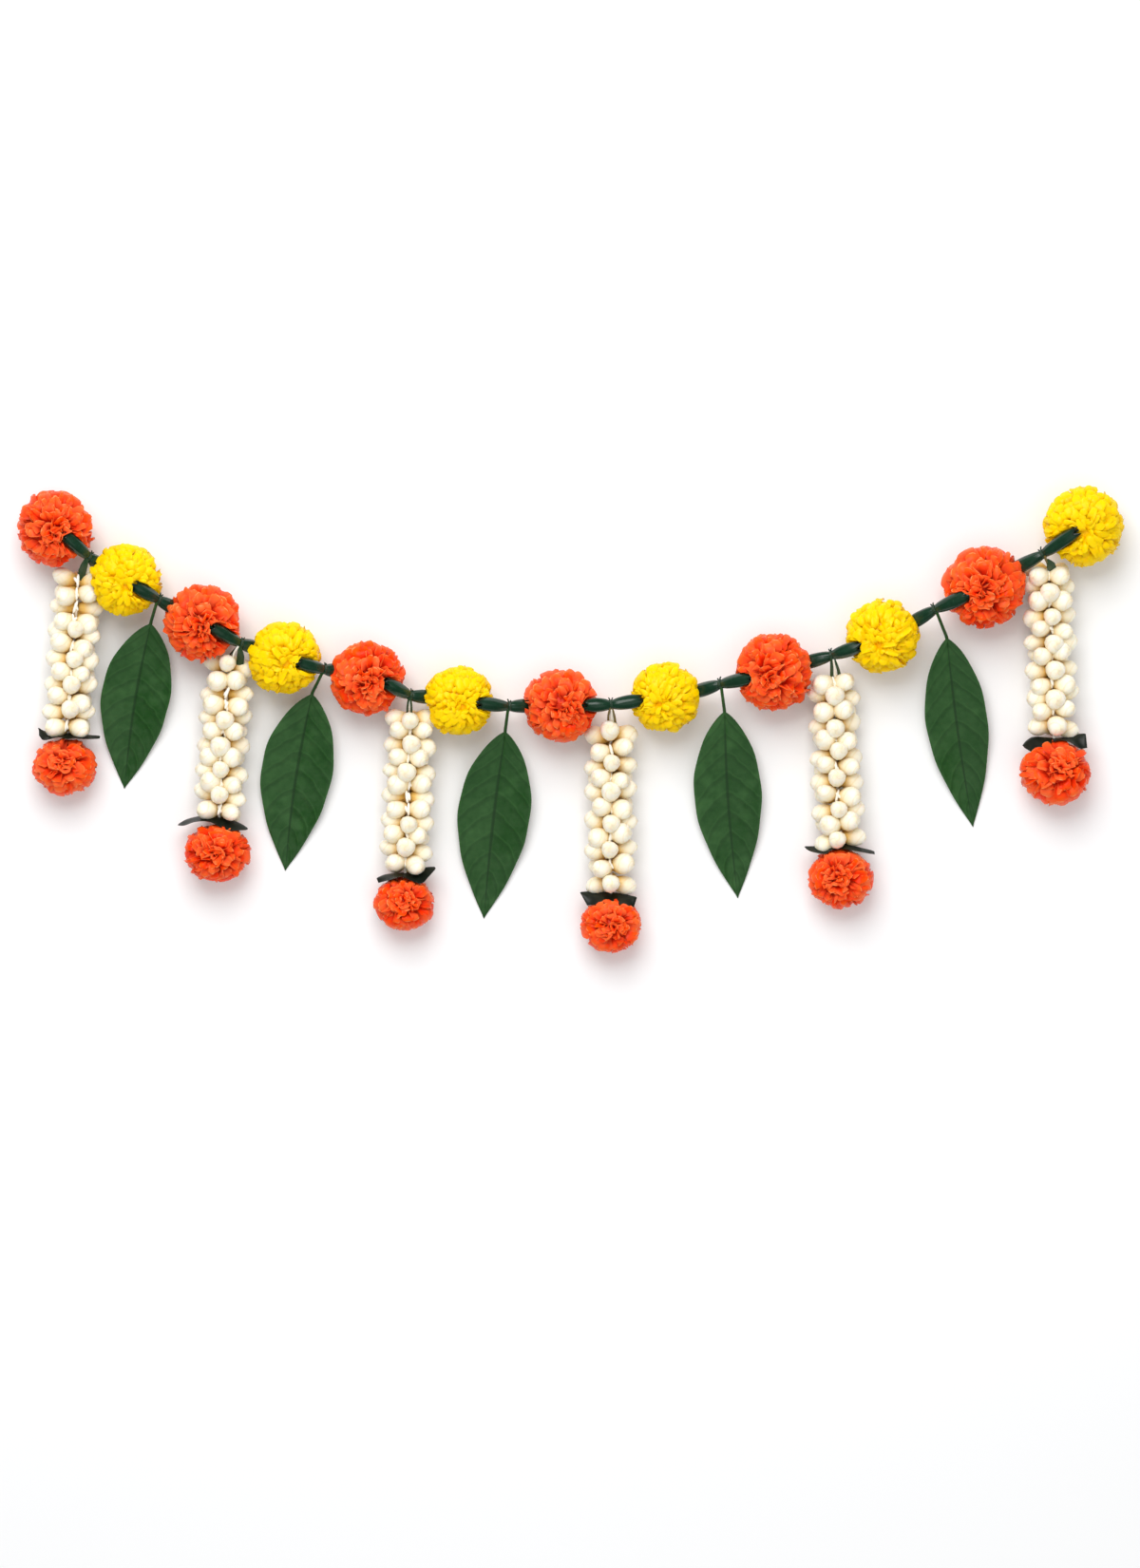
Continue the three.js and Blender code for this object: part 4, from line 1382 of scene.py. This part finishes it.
@dataclass
class Tassel:
    """A hanger, a column of buds on a core, a leaf cap and a small marigold."""

    link: Link
    bud_radius: float = 7.0
    core_radius: float = 1.2
    stem_radius: float = 1.3
    wire_radius: float = 0.8
    sides: int = 12
    lead: float = 2.0  # of bare core before the first buds
    clearance: float = 6.0  # between the last buds and the end marigold's crown
    cap_thickness: float = 0.9
    cap_foot: float = -13.0  # height of the cap's far edge over the end marigold's middle
    cap_corner: float = 4.0  # and of its corners

    def __post_init__(self) -> None:
        """Reads the core's two ends and the small marigold from the frame."""
        self.number = self.link.number
        self.style = TASSELS[self.number]
        self.start, self.end = ends_of(f"bud_string_{self.number}", 1.0, DOWN)
        self.rng = np.random.default_rng(300 + self.number)
        low, high = box_of(f"end_marigold_{self.number}")
        self.head = (low + high) / 2
        self.down = unit((self.end - self.start) * LEVEL)
        self.right = rightwards(self.down)
        crown = self.head - self.down * END_HEAD_ASPECT * (high[0] - low[0]) / 2
        self.column = float((crown - self.start) @ self.down) - self.clearance - self.style.tail
        pitch = (self.column - 2 * self.bud_radius) / (self.style.whorls - 1)
        self.spots = self.lead + self.bud_radius + np.arange(self.style.whorls) * pitch  # each whorl's

    def core_at(self, distance: Array) -> Array:
        """Points on the core's middle line at distances down from its start."""
        span = self.end - self.start
        return self.start + np.asarray(distance)[..., None] / np.linalg.norm(span[:2]) * span

    def buds(self) -> Surface:
        """All the buds on the column.

        A bud is a profile turned about its own axis, which leaves the core square to it and leans a
        little. Three low ridges wind round it, and its nipple is off centre. Whorls of four are turned an
        eighth by turns.

        Returns:
            The buds, closed at both poles.
        """
        distance = np.array([2.0, 8.0, 11.5, 15.2, 19.0, 21.7, 22.8])
        radius = np.array([4.2, 7.2, 7.9, 7.9, 6.5, 3.5, 0.9])
        nipple_at, stray, tilt = 18.0, 1.8, 0.2
        whorls = self.style.whorls
        whorl = np.repeat(np.arange(whorls), 4)
        place = np.tile(np.arange(4), whorls)

        def chance(low: float, high: float) -> Array:
            """A random number for each bud."""
            return self.rng.uniform(low, high, len(whorl))

        spot = self.spots[whorl] + chance(-stray, stray)
        angle = np.pi / 2 * (place + 0.5 * ((whorl + self.style.turned_first) % 2) + 1) + chance(-tilt, tilt)
        lean = chance(-tilt, tilt) + np.where(whorl == whorls - 1, 0.25, 0.0)
        lean = lean - np.where(whorl == 0, 0.12, 0.0)
        out = -np.cos(angle)[:, None] * self.right + np.sin(angle)[:, None] * UP
        axis = unit(out * np.cos(lean)[:, None] + self.down * np.sin(lean)[:, None])
        first = unit(np.cross(axis, out - self.down))
        second = np.cross(axis, first)
        size = chance(0.88, 1.12)[:, None, None]
        turn = round_turns(self.sides) + chance(0, 6)[:, None, None]
        ridge = 1 + 0.05 * np.cos(3 * turn + 0.18 * distance[None, :, None])
        spread = radius[None, :, None] * size * ridge
        slip = np.maximum(distance - nipple_at, 0)[None, :, None] * chance(-0.16, 0.16)[:, None, None]
        rings = (
            self.core_at(spot)[:, None, None]
            + distance[None, :, None, None] * axis[:, None, None]
            + (spread * np.cos(turn) + slip)[..., None] * first[:, None, None]
            + (spread * np.sin(turn))[..., None] * second[:, None, None]
        )
        there = ~((place == 0) & np.isin(whorl, self.style.bare))
        # the tone runs from 0 at the root to 1 at the tip; the finish paints shade where it is low
        tone = np.broadcast_to(distance / distance[-1], (len(whorl), len(distance)))
        return closed_tubes(rest_on_floor(rings)[there], tone[there], chance(0, 1)[there])

    def threads(self) -> list[Surface]:
        """The core, and two white stems in each gap between the buds on top: a long and a slanting one.

        Returns:
            The strands.
        """
        rng = self.rng
        length = np.linalg.norm(self.end - self.start)
        surfaces = [strand(self.core_at(np.linspace(0, length - 2, 20)), self.core_radius, 8, 0.2)]
        share = np.linspace(-1, 1, 9)
        height, radius = 10.6, self.stem_radius * (1 - 0.5 * np.abs(share) ** 4)
        stems = ((5.2, 0.3), (3.2, 0.9))  # half of each one's length, and how far it may slant, in radians
        for whorl, spot in enumerate(self.spots):
            if (whorl + self.style.turned_first) % 2 == 0 and whorl not in self.style.bare:
                continue
            for size, slant in stems:
                yaw = rng.uniform(-slant, slant)
                sideways = rng.uniform(-1.0, 1.0) + size * share * np.sin(yaw)
                along = np.clip(spot + size * share * np.cos(yaw), 0.0, self.column + 3.0)
                sag = height + rng.uniform(-1.0, 1.0) - 1.5 * share**2
                path = self.core_at(along) + sideways[:, None] * self.right + sag[:, None] * UP
                surfaces.append(tube(path, radius, 7, rng.uniform()))
        return surfaces

    def ribbon(self, item: Ribbon) -> Surface:
        """A strand of the hanger: an oval section carried from the sleeve's waist down to the buds.

        Args:
            item: Its path and sizes.

        Returns:
            The strand.
        """
        count, sides, knot = 18, 8, self.link.knot
        path = knot + curve_through(np.array([(right, -down, 0.0) for right, down in item.path]), count)
        over_knot, over_core, length = 3.0, 6.0, 20.0
        fall = smooth(0.0, 1.0, (path - knot) @ DOWN / length)
        path[:, 2] = mix(knot[2] + over_knot, self.start[2] + over_core, fall) + item.rise
        half = np.interp(np.linspace(0, 1, count), np.linspace(0, 1, len(item.breadths)), item.breadths)
        turn = round_turns(sides)[None]
        oval = 1 / np.hypot(np.cos(turn) / item.depth, np.sin(turn) / half[:, None])
        return tube(path, oval, sides, self.rng.uniform())

    def hanger(self) -> None:
        """Builds the tie, a wire from it to the core, and the hanger's own strands."""
        places = np.stack([self.link.knot + 2.0 * UP, self.start, self.core_at(4.0)])
        wire = strand(curve_through(places, 12), self.wire_radius, 6, 0.4)
        pieces = {Tint.WIRE: [*Tie(self.link).surfaces(), wire]}
        for item in self.style.hanger:
            pieces.setdefault(item.tint, []).append(self.ribbon(item))
        for tint, surfaces in pieces.items():
            piece(f"hanger_{tint.name.lower()}_{self.number}", surfaces, tint, f"hanger_{self.number}")

    def cap(self) -> Surface:
        """The leaf cap: a bent sheet that stands behind the flower's crown and folds forward over it.

        Across the tassel the sheet follows its two edges. From back to front it first rises straight up
        along its upper edge, and then leans over the flower until it reaches its lower edge.

        Returns:
            The cap as one closed sheet.
        """
        columns, rows = 34, 9
        share = np.linspace(0, 1, columns)
        edges = (np.array(edge, dtype=float) for edge in (self.style.upper, self.style.lower))
        top, bottom = (curve_through(edge, columns)[None] for edge in edges)
        steps = np.linspace(0, 1, rows)
        lean = smooth(0.35, 1.0, steps)[:, None]
        height = mix(self.cap_foot, self.style.fold_height, steps)[:, None]
        taper = np.sin(np.pi * np.clip(share, 0.04, 0.96))[None] ** 0.5
        right, down = (mix(top[..., axis], bottom[..., axis], lean) for axis in range(2))
        if self.style.prong:
            down = down - 3.0 * smooth(0.30, 0.0, share)[None] * np.sin(np.pi * lean)
        lift = self.head[2] + height * taper + self.cap_corner * (1 - taper)
        sheet = (
            self.core_at(self.column + self.style.tail + 1.0) * LEVEL
            + right[..., None] * self.right
            + down[..., None] * self.down
            + np.broadcast_to(lift, right.shape)[..., None] * UP
        )
        tone, pick = np.ones((1, rows, columns)), self.rng.uniform(0, 1, 1)
        return closed_sheets(sheet[None], self.cap_thickness, tone, pick)

    def make(self) -> None:
        """Builds all of the tassel's pieces."""
        number = self.number
        self.hanger()
        piece(f"buds_{number}", [self.buds()], Tint.IVORY, f"bud_string_{number}")
        piece(f"bud_threads_{number}", self.threads(), Tint.WHITE, f"bud_string_{number}")
        piece(f"cap_leaf_{number}", [self.cap()], Tint.CAP, f"leaf_cap_{number}")
        Marigold(
            name=f"end_petals_{number}",
            node=f"end_marigold_{number}",
            bloom=BROAD,
            tint=Tint.ORANGE,
            seed=400 + number,
            eye=unit(np.array([0.0, 0.1, 1.0]) + self.rng.uniform(-0.2, 0.2, 3)),
            squash=self.down,
            aspect=self.style.crown,
        ).make()


# ---- Leaves ----


@dataclass(frozen=True)
class LeafShape:
    """One leaf's own sizes."""

    lean: float  # to the left of straight down, in degrees
    length: float
    width: float
    bow: float  # how far its middle bows to the left


LEAVES = {
    2: LeafShape(9.7, 141, 58, 3.0),
    4: LeafShape(9.0, 151, 60, 3.0),
    6: LeafShape(6.6, 159, 61, 1.5),
    8: LeafShape(-4.3, 158, 57, 2.2),
    10: LeafShape(-8.4, 161, 52, 1.4),
}


@dataclass
class Leaf:
    """A long pointed leaf on a stalk, tied at a sleeve's waist."""

    link: Link
    base_height: float = 22.0
    thickness: float = 0.8
    fold: float = 3.5
    stalk: float = 1.5

    def __post_init__(self) -> None:
        """Reads the stalk's top and the tip from the frame."""
        self.number = self.link.number
        self.shape = LEAVES[self.number]
        self.top, tip = ends_of(f"leaf_{self.number}", 1.5, DOWN)
        lean = np.radians(self.shape.lean)
        self.down = np.array([-np.sin(lean), -np.cos(lean), 0.0])
        self.right = rightwards(self.down)
        self.base = tip * LEVEL - self.shape.length * self.down

    def blade(self) -> Surface:
        """The blade.

        Its half width grows with the 0.8th power of the share along it and shrinks with the 1.06th power
        of the share left, scaled to the leaf's own half width where it is widest.
        Its midrib falls from the stalk and settles on the floor, its margins stand up in a shallow fold
        with a slow wave, and its middle bows to one side by half a sine wave.

        Returns:
            The blade as one closed sheet.
        """
        rows, columns = 60, 25
        grow, shrink, least = 0.8, 1.06, 0.25
        s = np.linspace(0, 1, rows)[:, None]
        u = np.linspace(-1, 1, columns)[None]
        widest = grow / (grow + shrink)
        outline = s**grow * (1 - s) ** shrink / (widest**grow * (1 - widest) ** shrink)
        rim, bulge = np.abs(u), np.sin(np.pi * s)
        phase = np.random.default_rng(500 + self.number).uniform(0, 2 * np.pi, 2)
        ripple = 1 + 0.012 * np.sin(s * 26 + phase[0] + np.pi * (u > 0))
        half = np.maximum(outline * self.shape.width / 2 * ripple, least)
        midrib = self.thickness / 2 + self.base_height * (1 - s) ** 1.7
        wave = 1.1 * rim**2 * np.sin(s * 9 + phase[1] + 1.5 * u)
        veins = 0.16 * np.cos(VEIN_RATE * (s - 0.157 * rim**VEIN_POWER)) * (1 - rim) ** 0.5 * rim**0.5
        groove = -0.5 * np.exp(-((u / 0.035) ** 2)) * (1 - s)
        lift = midrib + self.fold * rim**1.3 * bulge + wave * bulge + veins + groove + FLOOR
        sheet = (
            self.base
            + (s * self.shape.length)[..., None] * self.down
            + (u * half - self.shape.bow * bulge)[..., None] * self.right
            + lift[..., None] * UP
        )
        return closed_sheets(sheet[None], self.thickness, np.ones((1, rows, columns)), np.array([0.5]))

    def petiole(self) -> Surface:
        """The stalk: a round section carried from the tie to a little way down the blade.

        Returns:
            The stalk.
        """
        count, run_in = 22, 9.0
        root = self.base + (self.base_height - 0.6) * UP
        neck = mix(self.top, root, 0.55) + 1.0 * UP
        foot = self.base + run_in * self.down + (self.base_height * 0.88 - 0.9) * UP
        path = curve_through(np.stack([self.link.knot + 2.2 * UP, self.top, neck, root, foot]), count)
        radius = self.stalk * np.linspace(0.85, 1.0, count) * np.where(np.arange(count) > count - 4, 0.6, 1.0)
        return tube(path, radius, 9, 0.5)

    def make(self) -> None:
        """Builds the leaf and its tie."""
        number = self.number
        piece(f"leaf_binding_{number}", Tie(self.link).surfaces(), Tint.WIRE, f"leaf_tie_{number}")
        piece(f"leaf_blade_{number}", [self.blade()], Tint.LEAF, f"leaf_{number}")
        piece(f"leaf_stalk_{number}", [self.petiole()], Tint.LEAF, f"leaf_{number}")


# ---- The garland ----


@dataclass
class Garland:
    """Heads, sleeves, pendants and the cord through them."""

    lean: float = 0.35  # how far a head's eye turns to the sleeve that leaves its face
    slope: float = -0.28  # and down the page

    def __post_init__(self) -> None:
        """Finds the sleeves and what hangs from them."""
        self.links = {number: Link(number) for number in range(1, HEADS)}
        self.pendants = {
            number: Tassel(link) if number in TASSELS else Leaf(link) for number, link in self.links.items()
        }

    def head(self, number: int) -> Marigold:
        """One marigold head, parted where a sleeve leaves its face and where a tassel leans on it.

        Args:
            number: The head's number from the left.

        Returns:
            The head.
        """
        node = f"marigold_{number}"
        beside = [side for side in (number - 1, number) if side in self.links]
        mouths = [self.links[side].right if side < number else self.links[side].left for side in beside]
        mouth, knot = max(zip(mouths, (self.links[side].knot for side in beside)), key=lambda way: way[0][2])
        tassels = [self.pendants[side] for side in beside if side in TASSELS]
        low, high = box_of(node)
        leaning = self.lean * unit(mouth - (low + high) / 2)
        orange = number % 2 == 1
        return Marigold(
            name=f"marigold_petals_{number}",
            node=node,
            bloom=FULL if orange else FINE,
            tint=Tint.ORANGE if orange else Tint.YELLOW,
            seed=number,
            eye=unit(leaning + np.array([0.0, self.slope, 1.0])),
            obstacles=[Furrow(mouth, knot), *(Column(one.start, one.core_at(one.column)) for one in tassels)],
        )

    def cord(self) -> None:
        """Gives the cord, which runs inside sleeves and heads, its twisted thread."""
        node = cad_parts["main_cord"]
        node.data.materials.clear()
        node.data.materials.append(material_of(Tint.WIRE))
        log.info("main_cord: kept, with a cord finish")

    def make(self) -> None:
        """Builds every piece, from the cord outwards."""
        self.cord()
        for link in self.links.values():
            Sleeve(link).make()
        for number in range(1, HEADS + 1):
            self.head(number).make()
        for pendant in self.pendants.values():
            pendant.make()


# ---- Stage ----


@dataclass(frozen=True)
class Studio:
    """A white floor, a broad soft light from beyond the top edge, and a camera straight above."""

    view_height: float = 1320.0  # of the floor that the picture takes in
    view_centre: tuple[float, float] = (0.0, -55.0)
    distance: float = 5000.0
    sensor: float = 24.0
    focus_height: float = 25.0  # the height above the floor at which the picture has its true scale
    floor_half: float = 6000.0
    floor_colour: Colour = (0.885, 0.89, 0.895)
    ambient: float = 0.62  # strength of the white world

    def floor(self) -> None:
        """A plain matt floor."""
        half = self.floor_half * MM
        mesh = bpy.data.meshes.new("floor")
        square = [(-half, -half, 0.0), (half, -half, 0.0), (half, half, 0.0), (-half, half, 0.0)]
        mesh.from_pydata(square, [], [(0, 1, 2, 3)])
        constants = {"Roughness": 0.9, "Specular IOR Level": 0.1}
        mesh.materials.append(Look("floor_white", self.floor_colour, constants).material)
        add_object("floor", mesh)

    def lights(self) -> None:
        """One large soft light, a smaller low one, and a white world."""
        world = bpy.data.worlds.new("studio")
        bpy.context.scene.world = world
        world.use_nodes = True
        background = world.node_tree.nodes["Background"]
        background.inputs["Color"].default_value = (1.0, 1.0, 1.0, 1.0)
        background.inputs["Strength"].default_value = self.ambient
        world.cycles_visibility.glossy = False
        self.area("key", (-0.35, 1.5, 2.3), 2.0, 62.0)
        self.area("fill", (0.5, -1.2, 2.6), 2.4, 10.0)

    def area(self, name: str, where: tuple[float, float, float], size: float, power: float) -> None:
        """A square light that faces the garland.

        Args:
            name: Its name.
            where: Its place, in metres.
            size: Its side, in metres.
            power: Its power, in watts.
        """
        light = bpy.data.lights.new(name, "AREA")
        light.size = size
        light.energy = power
        away = Vector(where) - Vector((0.0, self.view_centre[1] * MM, 0.0))
        turned = away.to_track_quat("Z", "Y").to_matrix().to_4x4()
        add_object(name, light).matrix_world = Matrix.Translation(where) @ turned

    def camera(self) -> None:
        """A camera that looks straight down, with +Y at the top of the picture."""
        data = bpy.data.cameras.new("camera")
        data.sensor_fit = "VERTICAL"
        data.sensor_height = self.sensor
        data.lens = self.sensor * (self.distance - self.focus_height) / self.view_height
        data.clip_end = 20.0
        camera = add_object("camera", data)
        camera.location = (self.view_centre[0] * MM, self.view_centre[1] * MM, self.distance * MM)
        bpy.context.scene.camera = camera

    def make(self) -> None:
        """Sets the stage."""
        bpy.context.scene.view_settings.view_transform = "Standard"
        self.floor()
        self.lights()
        self.camera()
        log.info("studio: floor, lights and camera")


def main() -> None:
    """Builds the studio and the garland."""
    logging.basicConfig(level=logging.INFO, format="%(message)s")
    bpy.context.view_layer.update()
    Studio().make()
    Garland().make()


if __name__ == "__main__":
    main()
